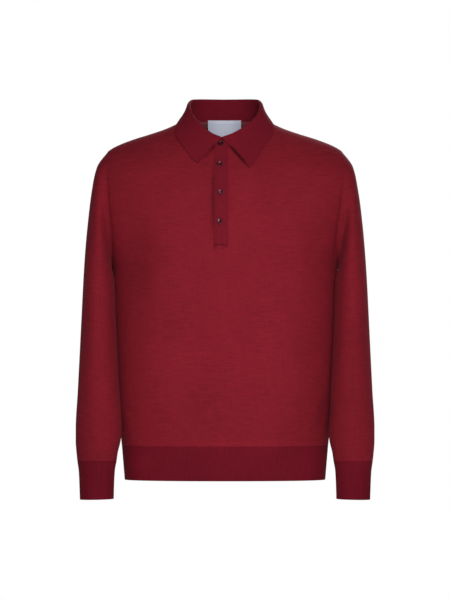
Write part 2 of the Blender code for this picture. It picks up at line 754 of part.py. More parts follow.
def build():
    for old in list(bpy.data.objects):
        bpy.data.objects.remove(old, do_unlink=True)

    skin = Skin()
    column = columns(shoulder=8, neck_left=5, slot=2, neck_right=6)
    chest, shoulders, strips = torso_fields(
        skin, column, band_rows=3, body_rows=8, chest_rows=9, strip_rows=3)
    steps = [2, 1, 1, 2, 2, 2, 2, 2, 1, 1, 1, 1, 2, 1]
    for side, name in ((-1, "left"), (1, "right")):
        loop = armhole_loop(chest, shoulders, strips, side)
        rings, cuff_row = sleeve_rings(loop, side, steps)
        skin.add(rings, lambda i, j: ("cuff_" if i >= cuff_row else "sleeve_") + name, flip=side < 0)

    shared = skin.normals(skin.faces)
    walls = {
        "front": ("body", KNIT),
        "back": ("body", KNIT),
        "placket_under": ("band", KNIT),
        "hem_front": ("rib", RIB),
        "hem_back": ("rib", RIB),
        "sleeve_left": ("body", KNIT),
        "sleeve_right": ("body", KNIT),
        "cuff_left": ("rib", RIB),
        "cuff_right": ("rib", RIB),
    }
    for name, (colour, thickness) in walls.items():
        points, faces = wall(skin, name, 0.0, -thickness, shared=shared)
        make_object(name, points, faces, colour)

    half = COLLAR_KNIT / 2
    points, faces = wall(collar_skin(column, 3, 3, 6), "collar", half, -half, gap=0.0)
    make_object("collar", points, faces, "collar")
    points, faces = wall(placket_skin(3, 12), "placket_over", OVERLAY_GAP + BAND_KNIT, OVERLAY_GAP, gap=0.0)
    make_object("placket_over", points, faces, "band")
    half = LABEL_THICKNESS / 2
    points, faces = wall(label_skin(6, 8), "neck_label", half, -half, gap=0.0)
    make_object("neck_label", points, faces, "label")
    for number, (across, height) in enumerate(zip(BUTTONS["across"], BUTTONS["height"]), start=1):
        points, faces = button(across, height, 20)
        make_object(f"button_{number}", points, faces, "button")


build()
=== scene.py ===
"""Looks of a long-sleeved fine-knit polo sweater, filled out as if worn, with nobody in it.

Metres, +Z up, the front faces -Y; only the tables are in millimetres. The cloth is worked out again
from the solids' own tables, much finer and with the soft folds of a real knit, as thin walls that
take the places of the CAD nodes.
"""
import math

import bpy
import numpy as np
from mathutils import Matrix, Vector


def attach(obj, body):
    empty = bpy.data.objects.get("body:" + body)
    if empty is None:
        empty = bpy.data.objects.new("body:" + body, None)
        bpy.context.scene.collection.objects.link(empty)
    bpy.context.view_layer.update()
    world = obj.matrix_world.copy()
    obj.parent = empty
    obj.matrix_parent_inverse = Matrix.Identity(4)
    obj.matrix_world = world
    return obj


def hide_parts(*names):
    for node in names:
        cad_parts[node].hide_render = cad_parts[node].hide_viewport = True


# ---- Cloth
SEAM_GAP = 0.0003
OVERLAY_GAP = 0.0005
SLEEVE_CLEARANCE = 0.0013
KNIT = 0.0018
RIB = 0.0022
COLLAR_KNIT = 0.0020
BAND_KNIT = 0.0016
LABEL_THICKNESS = 0.0008

# ---- Heights
HEM = -0.6830
HEM_BAND_TOP = -0.6176
ARMPIT = -0.2810
SHOULDER_POINT = -0.0592
SEAM_LEVEL = -0.0580

# ---- Distances across, from the middle
SHOULDER_ACROSS = 0.2215
NECK_ACROSS = 0.0780
NECK_COLUMN = 0.0735
PLACKET_MIDDLE = -0.0075
SLOT_LEFT = -0.0190
SLOT_RIGHT = 0.0040
SLOT_BOTTOM = -0.2370

# ---- Roundness of the body's rings: 2 is an ellipse, more is boxier
ROUNDNESS = 2.4
# Height over which the shoulder's ridge rounds into the chest and the back
ARCH = 0.070
# Reach of each armhole in front of and behind the shoulder point
ARMHOLE_FRONT = {-1: 0.062, 1: 0.070}
ARMHOLE_BACK = 0.060
ARMHOLE_MIDDLE = (SHOULDER_POINT + ARMPIT) / 2
ARMHOLE_HALF = (SHOULDER_POINT - ARMPIT) / 2
# Where the columns stop being upright, and where the neckline's turn to be even round the neck
UPRIGHT_COLUMNS = 0.03
UPRIGHT_AT_NECK = 0.020
NECK_TURN = 0.035
# Rounds that settle a column's place, which depends on its height
SETTLING_ROUNDS = 4
TINY = 1e-9
NORMAL_STEP = 0.0005

# ---- Placket, buttons and label
OVER_LEFT = -0.0206
OVER_RIGHT = 0.0056
OVER_TOP = -0.0418
OVER_BOTTOM = -0.2390
BUTTON_RADIUS = 0.0055
BUTTON_THICKNESS = 0.0020
LABEL_LEFT = -0.0325
LABEL_RIGHT = 0.0306
LABEL_TOP = 0.0012
LABEL_BOTTOM = -0.0440
LABEL_SET_IN = 0.0048
LABEL_LEAN = 0.14

# ---- Collar
CLOSURE = -0.0062
CLOSURE_GAP = 0.0002
# Angle past which a station is the collar's own front end
CLOSURE_ANGLE = 178.0
STAND_SEAT = 0.0018
FRONT_SEAT_LESS = 0.0004
FALL_CLEARANCE = 0.0026
SHOULDER_LIFT = 0.0012
CLEARANCE_SOFTNESS = 0.0003
CLOSURE_FREE = 0.004
# Angles where the collar's parts begin to change: from each of them up to the closure, or over a turn
SHIFT_FROM = 120
PARTING_FROM = 150
FLAT_FROM = 90
FLAT_OVER = 40
LIFTED_UP_TO = 135
LIFT_OVER = 30
# The fall's curve: how far its two handles reach, and how it leaves the roll and comes to its edge
HANDLE = 0.36
HANDLE_LESS = 0.24
LEAVE_OUT = 0.30
LEAVE_FLAT = 0.5
LEAVE_ASIDE = 1.6
ARRIVE_FLAT = 0.2
ARRIVE_FLATTER = 0.6
# Steps up the stand, over the roll and down the fall
COLLAR_STEPS = (8, 8, 20)


def table(text):
    """A table written as text, lengths in millimetres: the first line names the columns."""
    names, *rows = [line.split() for line in text.strip().splitlines()]
    plain = ("side", "angle", "change")
    return {name: np.array([float(row[k] + ("" if name in plain else "e-3")) for row in rows])
            for k, name in enumerate(names)}


BODY = table("""
height half_width front_depth back_depth
  -683 190.5    96    93
  -653   193    98    94
-617.6   196   100  95.5
  -589   199 103.5  97.5
  -530   205   107   100
  -450 209.5   111 102.5
  -355   213   115 105.5
  -281   214   118 108.5
  -220   214   117   110
  -150   214 108.5   108
  -100   214    96   103
   -60   214  78.5    95
   -36   214    69    88
     0   214    61  81.5
""")

RIDGE = table("""
across height
    0    20
   10    20
   45    14
   78     0
 93.1  -8.2
112.1 -16.8
142.5 -27.2
172.9 -36.7
203.3 -48.5
  215 -54.7
221.5 -59.2
""")

ARMHOLE = table("""
height left_across right_across
 -281   214   214
 -270 213.7 213.4
 -250 212.8 211.2
 -220   213   210
 -185 216.5 213.8
 -145 220.5   220
 -105 223.5   226
  -80   223 224.5
-59.2 221.5 221.5
""")

NECKLINE = table("""
across front_height back_height
 0 -41.2 -4.7
20 -38.5 -4.6
38 -30.5 -4.3
54 -20.5 -3.6
66 -11.8 -2.5
74    -5   -1
78     0    0
""")

FORWARD_SEAM = table("""
across height
    0   -58
  180   -58
  205 -60.5
221.5 -64.5
""")

# One row for each section of a sleeve, from just outside the armhole down to the cuff's end
SLEEVE = table("""
outer_across outer_height inner_across inner_height half_depth forward_left forward_right
243.2    -90   214   -284   69  5  6
  253   -136 212.5   -288 72.5 12 15
  260   -200   210   -294   73 19 25
266.8   -285 207.5   -305 71.5 25 34
270.5   -355   206   -362   68 30 43
274.5   -435   203 -437.5   63 37 51
278.5   -515   199 -516.5   57 43 57
282.2   -585   195 -585.5   51 48 60
282.2   -608 197.2   -608 46.5 50 60
280.6   -630 202.4   -630   41 52 60
  279   -645 204.6   -645 37.2 53 60
276.2   -666   208   -665   35 54 60
274.6   -701 209.6   -700 33.5 55 60
  274 -718.8   210 -717.4   33 56 60
""")
CUFF_SECTION = 10
# Rings of the fine mesh between one section and the next
SLEEVE_STEPS = (10, 5, 5, 10, 10, 10, 10, 10, 6, 6, 5, 5, 9, 5)
SLEEVE_SOFTNESS = 0.0010
SLEEVE_FADE = 0.025
SPARE_LIMIT = 60

# One row for each station of the collar, by its angle from the back of the neck. The roll is the top
# fold. The fall's edge is where it lies on the panels, seen from the front, on the two sides.
COLLAR = table("""
angle roll_across roll_back roll_top roll_radius left_across left_height right_across right_height
  0    0 57.5  41.4 2.7    0   -13    0   -13
 30 34.5 49.5  41.5 2.7   44 -12.5   44 -12.5
 60 58.5   28  40.2 2.7 75.5 -10.5 75.5 -10.5
 78 64.5   10  35.2 2.7 85.3  -7.2 85.3  -7.2
 90 66.2   -3    30 2.7 88.6    -6 88.4    -6
105 64.2  -19    21 2.6 91.2   -20   90   -19
120 58.5  -35     7 2.5 90.8   -35 88.2 -33.5
135 47.5  -49    -5 2.3 82.2 -49.2   78   -49
150   33  -60   -18 2.1   71   -64 65.5 -67.2
165   17  -68   -28 1.8 60.5 -78.5 54.5 -83.5
180    0  -71 -34.5 1.6 50.5 -84.8 45.8 -94.2
""")

BUTTONS = table("""
across height
   -8  -47.7
-10.3  -86.6
 -9.2 -139.4
-10.3   -194
""")

# ---- Sewing and finish, all in metres
SEAM_ROUND = 0.0006
SEAM_SLIT = 0.00004
LABEL_ROUND = 0.0003
LABEL_BOW = 0.0022
THREAD_RADIUS = 0.00028
STITCH_PITCH = 0.0030
STITCH_LENGTH = 0.0022
STITCH_IN = 0.0014
BOX_STITCH_TOP = -0.2166
BUTTON_HOLE_OUT = 0.0012
BUTTON_HOLE_RADIUS = 0.0005
BUTTONHOLE_LENGTH = 0.0150
BUTTONHOLE_HALF_WIDTH = 0.0005
BUTTONHOLE_STITCHES = 22
BUTTON_SEGMENTS = 64
HOLE_SEGMENTS = 16
# Distance from the axis and level of a button's outline, as shares of its radius and thickness
BUTTON_PROFILE = (
    (0.55, 0.00), (0.80, 0.02), (0.94, 0.22), (1.00, 0.50), (0.98, 0.78), (0.91, 0.96), (0.82, 1.00),
    (0.73, 0.93), (0.66, 0.76), (0.60, 0.66), (0.40, 0.62), (0.15, 0.60),
)

# Sideways and upward tilt of each button on its thread
BUTTON_TILTS = ((0.0, 0.0), (0.10, -0.12), (0.03, 0.02), (-0.04, 0.02))
# The tape that covers the neck seam inside
TAPE_UP = 0.0022
TAPE_UP_FRONT = 0.0050
TAPE_RISE_FROM = 165
TAPE_TURN = 0.001
TAPE_DOWN = 0.0085
TAPE_THICKNESS = 0.0006
TAPE_INSIDE = KNIT + 0.0008
TAPE_INSIDE_STAND = COLLAR_KNIT / 2 + 0.0006

# ---- Colours, linear red, green and blue
BURGUNDY = (0.170, 0.0085, 0.0165)
# The rib's colour is darker than the jersey's: painted shade of its fine grooves, which the mesh does not
# shape
BURGUNDY_RIB_WITH_PAINTED_SHADE = (0.122, 0.0046, 0.0120)
BURGUNDY_COLLAR = (0.137, 0.0058, 0.0140)
BURGUNDY_BAND = (0.136, 0.0064, 0.0142)
BURGUNDY_TAPE = (0.160, 0.0400, 0.0450)
# How much the broad clouds change the knit's tone
CLOUD = 0.07

# ---- Light and camera
WORLD_LIGHT = 0.17
# Lamps: name, place, what each points at, power, and a panel's size or the radius that a spot lights
PANEL_LAMPS = (
    ("key", (0.8, -3.3, 1.2), (0.0, 0.0, -0.30), 46.0, 1.6),
    ("front", (0.0, -3.6, 0.0), (0.0, 0.0, -0.30), 38.0, 1.2),
    ("back", (0.5, 3.2, 1.4), (0.0, 0.0, -0.30), 100.0, 2.0),
)
SPOT_LAMPS = (
    ("chest", (0.15, -2.6, 0.30), (0.02, -0.10, -0.21), 74.0, 0.42),
    ("belly", (0.10, -2.6, -0.10), (0.01, -0.10, -0.47), 100.0, 0.42),
)
SPOT_SOFTNESS = 0.35
FLOOR = -1.45
FLOOR_RADIUS = 3.0
SENSOR = 36.0
CAMERA_AWAY = 9.0
CAMERA_HEIGHT = -0.342
FRAME_HEIGHT = 1.14

# ---- Curves

def smooth(knots, values, at):
    """A smooth curve through the knots that never overshoots them; values may be arrays."""
    knots = np.asarray(knots, dtype=float)
    values = np.asarray(values, dtype=float)
    at = np.clip(np.asarray(at, dtype=float), knots[0], knots[-1])
    extra = (1,) * (values.ndim - 1)
    step = np.diff(knots).reshape(-1, *extra)
    slope = np.diff(values, axis=0) / step
    tangent = np.empty_like(values)
    tangent[0] = slope[0]
    tangent[-1] = slope[-1]
    before, after = slope[:-1], slope[1:]
    weight_before = 2 * step[1:] + step[:-1]
    weight_after = step[1:] + 2 * step[:-1]
    same_way = before * after > 0
    safe_before = np.where(same_way, before, 1.0)
    safe_after = np.where(same_way, after, 1.0)
    harmonic = weight_before / safe_before + weight_after / safe_after
    harmonic = (weight_before + weight_after) / harmonic
    tangent[1:-1] = np.where(same_way, harmonic, 0.0)
    cell = np.clip(np.searchsorted(knots, at, side="right") - 1, 0, len(knots) - 2)
    width = (knots[cell + 1] - knots[cell]).reshape(at.shape + extra)
    part = ((at - knots[cell]).reshape(at.shape + extra)) / width
    start = values[cell] * (1 + 2 * part) * (1 - part) ** 2
    leave = tangent[cell] * width * part * (1 - part) ** 2
    end = values[cell + 1] * part ** 2 * (3 - 2 * part)
    arrive = tangent[cell + 1] * width * part ** 2 * (part - 1)
    return start + leave + end + arrive


def ease(value):
    """0 below 0, 1 above 1, and a smooth step between."""
    value = np.clip(value, 0.0, 1.0)
    return value * value * (3 - 2 * value)


def unit(vectors):
    vectors = np.asarray(vectors, dtype=float)
    length = np.linalg.norm(vectors, axis=-1, keepdims=True)
    return vectors / np.maximum(length, 1e-12)


# ---- The torso's surface

def ridge_height(across):
    return smooth(RIDGE["across"], RIDGE["height"], np.minimum(np.abs(across), SHOULDER_ACROSS))


def side_across(across, height):
    """Distance from the middle to the side seam or the armhole, on the side where 'across' is."""
    below = smooth(BODY["height"], BODY["half_width"], height)
    left = smooth(ARMHOLE["height"], ARMHOLE["left_across"], height)
    right = smooth(ARMHOLE["height"], ARMHOLE["right_across"], height)
    above = np.where(np.asarray(across) < 0, left, right)
    return np.where(np.asarray(height) <= ARMPIT, below, above)


def armhole_depth(across, height, front):
    """Depth of the armhole's edge over the arch's own falling off: it is an ellipse from the side."""
    reach_front = np.where(np.asarray(across) < 0, ARMHOLE_FRONT[-1], ARMHOLE_FRONT[1])
    reach = reach_front if front else ARMHOLE_BACK
    level = (height - ARMHOLE_MIDDLE) / ARMHOLE_HALF
    fall = (SHOULDER_POINT - height) / ARCH
    low = np.sqrt(np.clip(1 - level ** 2, 0, None))
    high = np.sqrt(np.clip(ARCH / ARMHOLE_HALF * (1 + level) / (2 - np.minimum(fall, 1)), 0, None))
    return np.where(np.asarray(height) <= ARMPIT, 0.0, reach * np.where(fall < 1, high, low))


def middle_depth(height, front):
    return smooth(BODY["height"], BODY["front_depth" if front else "back_depth"], height)


def neckline_height(across, front):
    heights = NECKLINE["front_height" if front else "back_height"]
    return smooth(NECKLINE["across"], heights, np.abs(across))


def torso_depth(across, height, front):
    """How far the torso's surface is from the plane of the shoulders, at a place seen from ahead."""
    across, height = np.broadcast_arrays(np.asarray(across, float), np.asarray(height, float))
    deepest = middle_depth(height, front)
    at_edge = (armhole_depth(across, height, front) / deepest) ** ROUNDNESS
    share = np.clip(np.abs(across) / side_across(across, height), 0, 1)
    crown = np.clip(1 - share ** ROUNDNESS * (1 - at_edge), 0, 1) ** (1 / ROUNDNESS)
    fall = np.clip((ridge_height(across) - height) / ARCH, 0, 1)
    return deepest * crown * np.sqrt(fall * (2 - fall))


def height_at(across, run):
    """Height at a distance 'run' over the shoulder's ridge, to the front or, below 0, to the back."""
    turn = np.minimum(np.abs(run) / ARCH, math.pi / 2)
    straight = np.maximum(np.abs(run) - ARCH * math.pi / 2, 0)
    return ridge_height(across) - ARCH * (1 - np.cos(turn)) - straight


def run_at(across, height, front):
    fall = ridge_height(across) - height
    turn = ARCH * np.arccos(np.clip(1 - fall / ARCH, -1, 1))
    run = np.where(fall < ARCH, turn, ARCH * math.pi / 2 + fall - ARCH)
    return run if front else -run


def torso(across, height, front):
    """Point of the torso's outer surface, seen from the front at this place."""
    across, height = np.broadcast_arrays(np.asarray(across, float), np.asarray(height, float))
    depth = torso_depth(across, height, front)
    return np.stack([across, -depth if front else depth, height], axis=-1)


def torso_by_run(across, run):
    height = height_at(across, run)
    front = torso(across, height, True)
    back = torso(across, height, False)
    return np.where((np.asarray(run) > 0)[..., None], front, back)


def torso_normal(across, height, front):
    step = NORMAL_STEP
    to_side = torso(across + step, height, front) - torso(across - step, height, front)
    upward = torso(across, height + step, front) - torso(across, height - step, front)
    normal = unit(np.cross(to_side, upward))
    return normal if front else -normal


# ---- Columns and rows

def columns(shoulder, neck_left, slot, neck_right):
    """Places of the torso's columns at shoulder level, from the left armhole to the right one."""
    breaks = [-SHOULDER_ACROSS, -NECK_COLUMN, SLOT_LEFT, SLOT_RIGHT, NECK_COLUMN, SHOULDER_ACROSS]
    counts = [shoulder, neck_left, slot, neck_right, shoulder]
    runs = [np.linspace(a, b, n, endpoint=False) for a, b, n in zip(breaks, breaks[1:], counts)]
    return np.concatenate(runs + [breaks[-1:]])


def column_share(column):
    """Share of the half width that a column has at the armpit and below, evenly round the ring."""
    size = np.abs(column)
    straight = np.arcsin((size / SHOULDER_ACROSS) ** (ROUNDNESS / 2))
    even = math.pi / 2 * size / SHOULDER_ACROSS
    mix = ease((size - UPRIGHT_COLUMNS) / (SHOULDER_ACROSS - UPRIGHT_COLUMNS))
    angle = straight * (1 - mix) + even * mix
    return np.sign(column) * np.sin(angle) ** (2 / ROUNDNESS)


def neckline_across(column):
    """Where a column meets the neckline: straight up in the middle, evenly round near the shoulders."""
    size = np.abs(column)
    even = NECK_ACROSS * np.sin(math.pi / 2 * np.minimum(size / NECK_COLUMN, 1))
    mix = ease((size - UPRIGHT_AT_NECK) / NECK_TURN)
    return np.sign(column) * (size * (1 - mix) + even * mix)


def armhole_rows(count, top_height, front):
    """Rows from the armpit up, as shares of the run to 'top_height', dense at the armpit."""
    last = math.acos(min((top_height - ARMHOLE_MIDDLE) / ARMHOLE_HALF, 1.0))
    heights = ARMHOLE_MIDDLE + ARMHOLE_HALF * np.cos(np.linspace(math.pi, last, count + 1))
    runs = run_at(SHOULDER_ACROSS, heights, front)
    return (runs - runs[0]) / (runs[-1] - runs[0])


def field_above_armpit(column, rows, top_across, top_run, front):
    """Points from the armpit level to a top edge that is given as places and runs."""
    low_share = column_share(column)
    low_run = run_at(low_share * side_across(low_share, ARMPIT), ARMPIT, front)
    top_share = top_across / SHOULDER_ACROSS
    share = low_share + (top_share - low_share) * rows[:, None]
    run = low_run + (top_run - low_run) * rows[:, None]
    across = share * SHOULDER_ACROSS
    for settling in range(SETTLING_ROUNDS):
        height = np.maximum(height_at(across, run), ARMPIT)
        across = share * side_across(share, height)
    return torso(across, height_at(across, run), front)


def slot_row(column, rows, seam_run):
    """Moves the nearest row to the height of the slot's lower end."""
    middle = np.array([PLACKET_MIDDLE])
    low_run = run_at(middle, ARMPIT, True)
    want = (run_at(middle, SLOT_BOTTOM, True) - low_run) / (seam_run - low_run)
    nearest = int(np.argmin(np.abs(rows - want)))
    rows = rows.copy()
    rows[nearest] = want[0]
    return rows, nearest


# ---- Soft folds

# Creases of the cloth, seen from the front: the two ends of each, its width and its height (below 0
# a trough). Side is -1 on what faces the front, 1 on what faces the back.
FOLDS = table("""
side across_1 height_1 across_2 height_2 width height
-1 -26.2  -70 -25.8 -233 4.8 -1.2
-1    15  -95    33 -230  20  1.6
-1  -162 -130  -176 -370  30   -5
-1   170 -170   174 -330  24 -3.4
-1  -115  -98   -52 -225  34  2.2
-1     0 -255     6 -600  48  2.6
-1   -75 -300   -60 -590  36 -1.6
-1    80 -280    70 -560  34 -1.4
-1  -125 -400  -118 -600  26  1.6
-1   120 -340   128 -570  28  1.8
-1   198 -515   178 -595  10 -3.2
-1   196 -500   150 -520   6   -1
-1  -195 -540  -166 -562   7 -1.2
-1   -16 -245   -40 -315  12  0.9
-1     3 -245    24 -300  10  0.8
-1  -252 -150  -256 -460  11  1.6
-1  -230 -260  -235 -500   9 -1.4
-1   250 -130   262 -430  12  1.4
-1   230 -300   242 -560  10 -1.4
-1  -273 -578  -243 -570   5   -1
-1  -276 -600  -238 -608 5.5 -1.2
-1  -250 -586  -216 -595   5   -1
-1   226 -540   256 -556   6   -1
-1   274 -598   248 -605   6   -1
-1  -244 -115  -230 -175   9 -1.2
-1   245 -105   233 -170   9 -1.2
 1   -90 -110   -50 -320  36  2.4
 1    85 -115    56 -310  34  2.2
 1     0 -220     4 -590  42 -2.4
 1  -150 -170  -165 -380  30   -4
 1   152 -165   166 -370  29 -3.6
 1  -110 -390  -102 -600  30  2.4
 1   105 -410   110 -602  29  2.6
 1   -55 -460   -50 -605  20  1.4
 1    50 -470    56 -605  22  1.6
 1  -178 -550  -150 -575   9 -1.4
 1   182 -540   156 -568   9 -1.4
 1  -256 -220  -260 -480  11  1.4
 1   258 -240   264 -500  11  1.4
 1  -268 -585  -235 -595   6 -1.1
 1   266 -580   236 -593   6 -1.1
""")
LINE_SOFT_END = 0.35
FOLD_SIDE_DEPTH = 0.012
FOLD_FREE_SIDE = 0.016


# Changes of tone, laid out as the folds are. Most are painted shade: darker under the collar's
# front edges, under and beside the placket band's edges, in creases, down the sides and the right
# sleeve, and along the armholes and on down between sleeves and body, where the armhole seam is also
# darker. Some are painted light: lighter right of the placket and along the hem band's top. The
# shoulder seam is darker as a sewn edge; the hem band's sides are lighter and its lower edge darker.
PAINTED_LIGHT_AND_SEAM_TONES = table("""
side across_1 height_1 across_2 height_2 width change
-1  -23.2    -72   -23   -235 2.2 -0.42
-1    3.5    -45  46.2  -92.6 2.6 -0.75
-1  -13.5    -44 -42.2  -79.7   2  -0.6
-1   -178   -130  -165   -600  35 -0.08
-1    178   -130   165   -600  35 -0.08
-1    245   -300   245   -650  30 -0.09
-1   -225   -652  -120   -652  26  0.17
-1    120   -652   225   -652  26   0.1
-1  -24.5   -100 -24.5   -250   9  -0.1
-1  -20.6 -237.5   5.6 -237.5 1.4  -0.2
-1    -24   -242   -13   -242   5 -0.35
-1    -10   -245    10   -242 3.5  -0.2
-1     40    -80    45   -230  30  0.08
-1 -221.5    -95  -207   -345 2.8 -0.24
-1    225    -95   199   -295 2.8 -0.24
-1    201   -530   190   -600   6 -0.22
-1    195   -505   150   -515   5 -0.06
-1   -223    -64  -210    -61   4 -0.15
-1   -190   -613   190   -613   6   0.1
-1   -190   -681   190   -681 2.2 -0.16
 1   -190   -681   190   -681 2.2 -0.16
""")


def relief(points):
    """How far the cloth stands out from its plain form at each point."""
    folds = along_lines(points, FOLDS, "height")
    return folds * ease(np.abs(np.abs(points[..., 0]) - side_edge(points[..., 2])) / FOLD_FREE_SIDE)


def along_lines(points, lines, value):
    """Sum over a table's soft lines of the value that each gives at each point."""
    total = np.zeros(points.shape[:-1])
    across, depth, height = points[..., 0], points[..., 1], points[..., 2]
    keys = ("side", "across_1", "height_1", "across_2", "height_2", "width", value)
    for side, across_1, height_1, across_2, height_2, width, size in zip(*(lines[key] for key in keys)):
        run = np.array([across_2 - across_1, height_2 - height_1])
        length = np.hypot(*run)
        from_start = np.stack([across - across_1, height - height_1], axis=-1)
        along = from_start @ run / length ** 2
        off = np.abs(from_start @ np.array([-run[1], run[0]])) / length
        ends = ease(along / LINE_SOFT_END) * ease((1 - along) / LINE_SOFT_END)
        facing = ease(0.5 + side * (depth - sleeve_middle(across, height)) / FOLD_SIDE_DEPTH)
        total += size * np.exp(-(off / width) ** 2) * ends * facing
    return total


def side_edge(height):
    """Distance across of the gap between the torso and the sleeves."""
    return np.interp(height, [HEM, ARMPIT, SHOULDER_POINT], [0.203, 0.213, 0.222])


def sleeve_middle(across, height):
    """Depth of the middle of the piece that a point is on: the torso, or the sleeve on that side."""
    order = np.argsort(SLEEVE["outer_height"])
    knots = SLEEVE["outer_height"][order]
    left = np.interp(height, knots, SLEEVE["forward_left"][order])
    right = np.interp(height, knots, SLEEVE["forward_right"][order])
    return np.where(np.abs(across) > side_edge(height), -np.where(across < 0, left, right), 0.0)


# ---- The skin

class Skin:
    """A welded outer surface, in triangles, whose faces belong to named pieces."""

    def __init__(self):
        self.grids = []
        self.names = []

    def add(self, grid, name, flip=False):
        """Adds a grid of points; 'name' is a piece, or a function of row and column that gives one."""
        cells = np.ndindex(grid.shape[0] - 1, grid.shape[1] - 1)
        self.names += [name(i, j) if callable(name) else name for i, j in cells]
        self.grids.append((np.asarray(grid, float), flip))

    def weld(self):
        """Joins the grids where they meet and cuts each cell along its shorter diagonal."""
        cells, points, start = [], [], 0
        for grid, flip in self.grids:
            rows, across = grid.shape[:2]
            index = start + np.arange(rows * across).reshape(rows, across)
            ring = np.stack([index[:-1, :-1], index[:-1, 1:], index[1:, 1:], index[1:, :-1]], axis=-1)
            ring = ring.reshape(-1, 4)
            cells.append(ring[:, ::-1] if flip else ring)
            points.append(grid.reshape(-1, 3))
            start += rows * across
        cells, points = np.concatenate(cells), np.concatenate(points)
        keys = np.round(points * 1e6 + 0.137).astype(np.int64)
        first, same = np.unique(keys, axis=0, return_index=True, return_inverse=True)[1:]
        self.points = points[first]
        cells = same.reshape(-1)[cells]
        a, b, c, d = (self.points[cells[:, k]] for k in range(4))
        shorter = np.linalg.norm(a - c, axis=1) <= np.linalg.norm(b - d, axis=1)
        one = np.where(shorter[:, None], cells[:, [0, 1, 2]], cells[:, [0, 1, 3]])
        two = np.where(shorter[:, None], cells[:, [0, 2, 3]], cells[:, [1, 2, 3]])
        faces = np.stack([one, two], axis=1).reshape(-1, 3)
        whole = (faces != np.roll(faces, -1, axis=1)).all(axis=1)
        self.faces = faces[whole]
        self.face_names = np.repeat(np.array(self.names), 2)[whole]

    def normals(self, faces):
        corners = self.points[faces]
        weight = np.cross(corners[:, 1] - corners[:, 0], corners[:, 2] - corners[:, 0])
        total = np.zeros_like(self.points)
        for k in range(3):
            np.add.at(total, faces[:, k], weight)
        return unit(total)

    def crease(self):
        """Raises the soft folds on the welded surface."""
        self.points = self.points + self.normals(self.faces) * relief(self.points)[:, None]


def skin_of(grid):
    """A skin of one grid, for what lies on the panels."""
    skin = Skin()
    skin.add(grid, "field")
    skin.weld()
    return skin


def wall(skin, name, outward, inward, gap=SEAM_SLIT, shared=None):
    """A closed wall from one piece of the skin: its points moved out, the same moved in, and rims."""
    faces = skin.faces[skin.face_names == name]
    own = skin.normals(faces)
    shared = own if shared is None else shared
    alike = (shared * own).sum(axis=1, keepdims=True) > 0.5
    normal = np.where(alike, shared, own)
    start, end = faces.reshape(-1), np.roll(faces, -1, axis=1).reshape(-1)
    count = len(skin.points)
    single = ~np.isin(start * count + end, end * count + start)
    border = sorted(zip(start[single].tolist(), end[single].tolist()))
    following = dict(border)
    leading = {b: a for a, b in border}
    points = skin.points.copy()
    for v in following:
        toward = unit(skin.points[following[v]] - skin.points[v])
        along = unit(skin.points[v] - skin.points[leading[v]])
        first = unit(np.cross(normal[v], along))
        second = unit(np.cross(normal[v], toward))
        points[v] = skin.points[v] + gap * (first + second) / max(1 + float(first @ second), 0.5)
    used = np.unique(faces)
    place = np.full(len(points), -1)
    place[used] = np.arange(len(used))
    sheet = place[faces]
    count = len(used)
    rims = [[place[b], place[a], place[a] + count, place[b] + count] for a, b in border]
    outer = points[used] + normal[used] * outward
    inner = points[used] + normal[used] * inward
    faces = sheet.tolist() + (sheet[:, ::-1] + count).tolist() + rims
    return np.concatenate([outer, inner]), faces


# ---- Fields of the torso

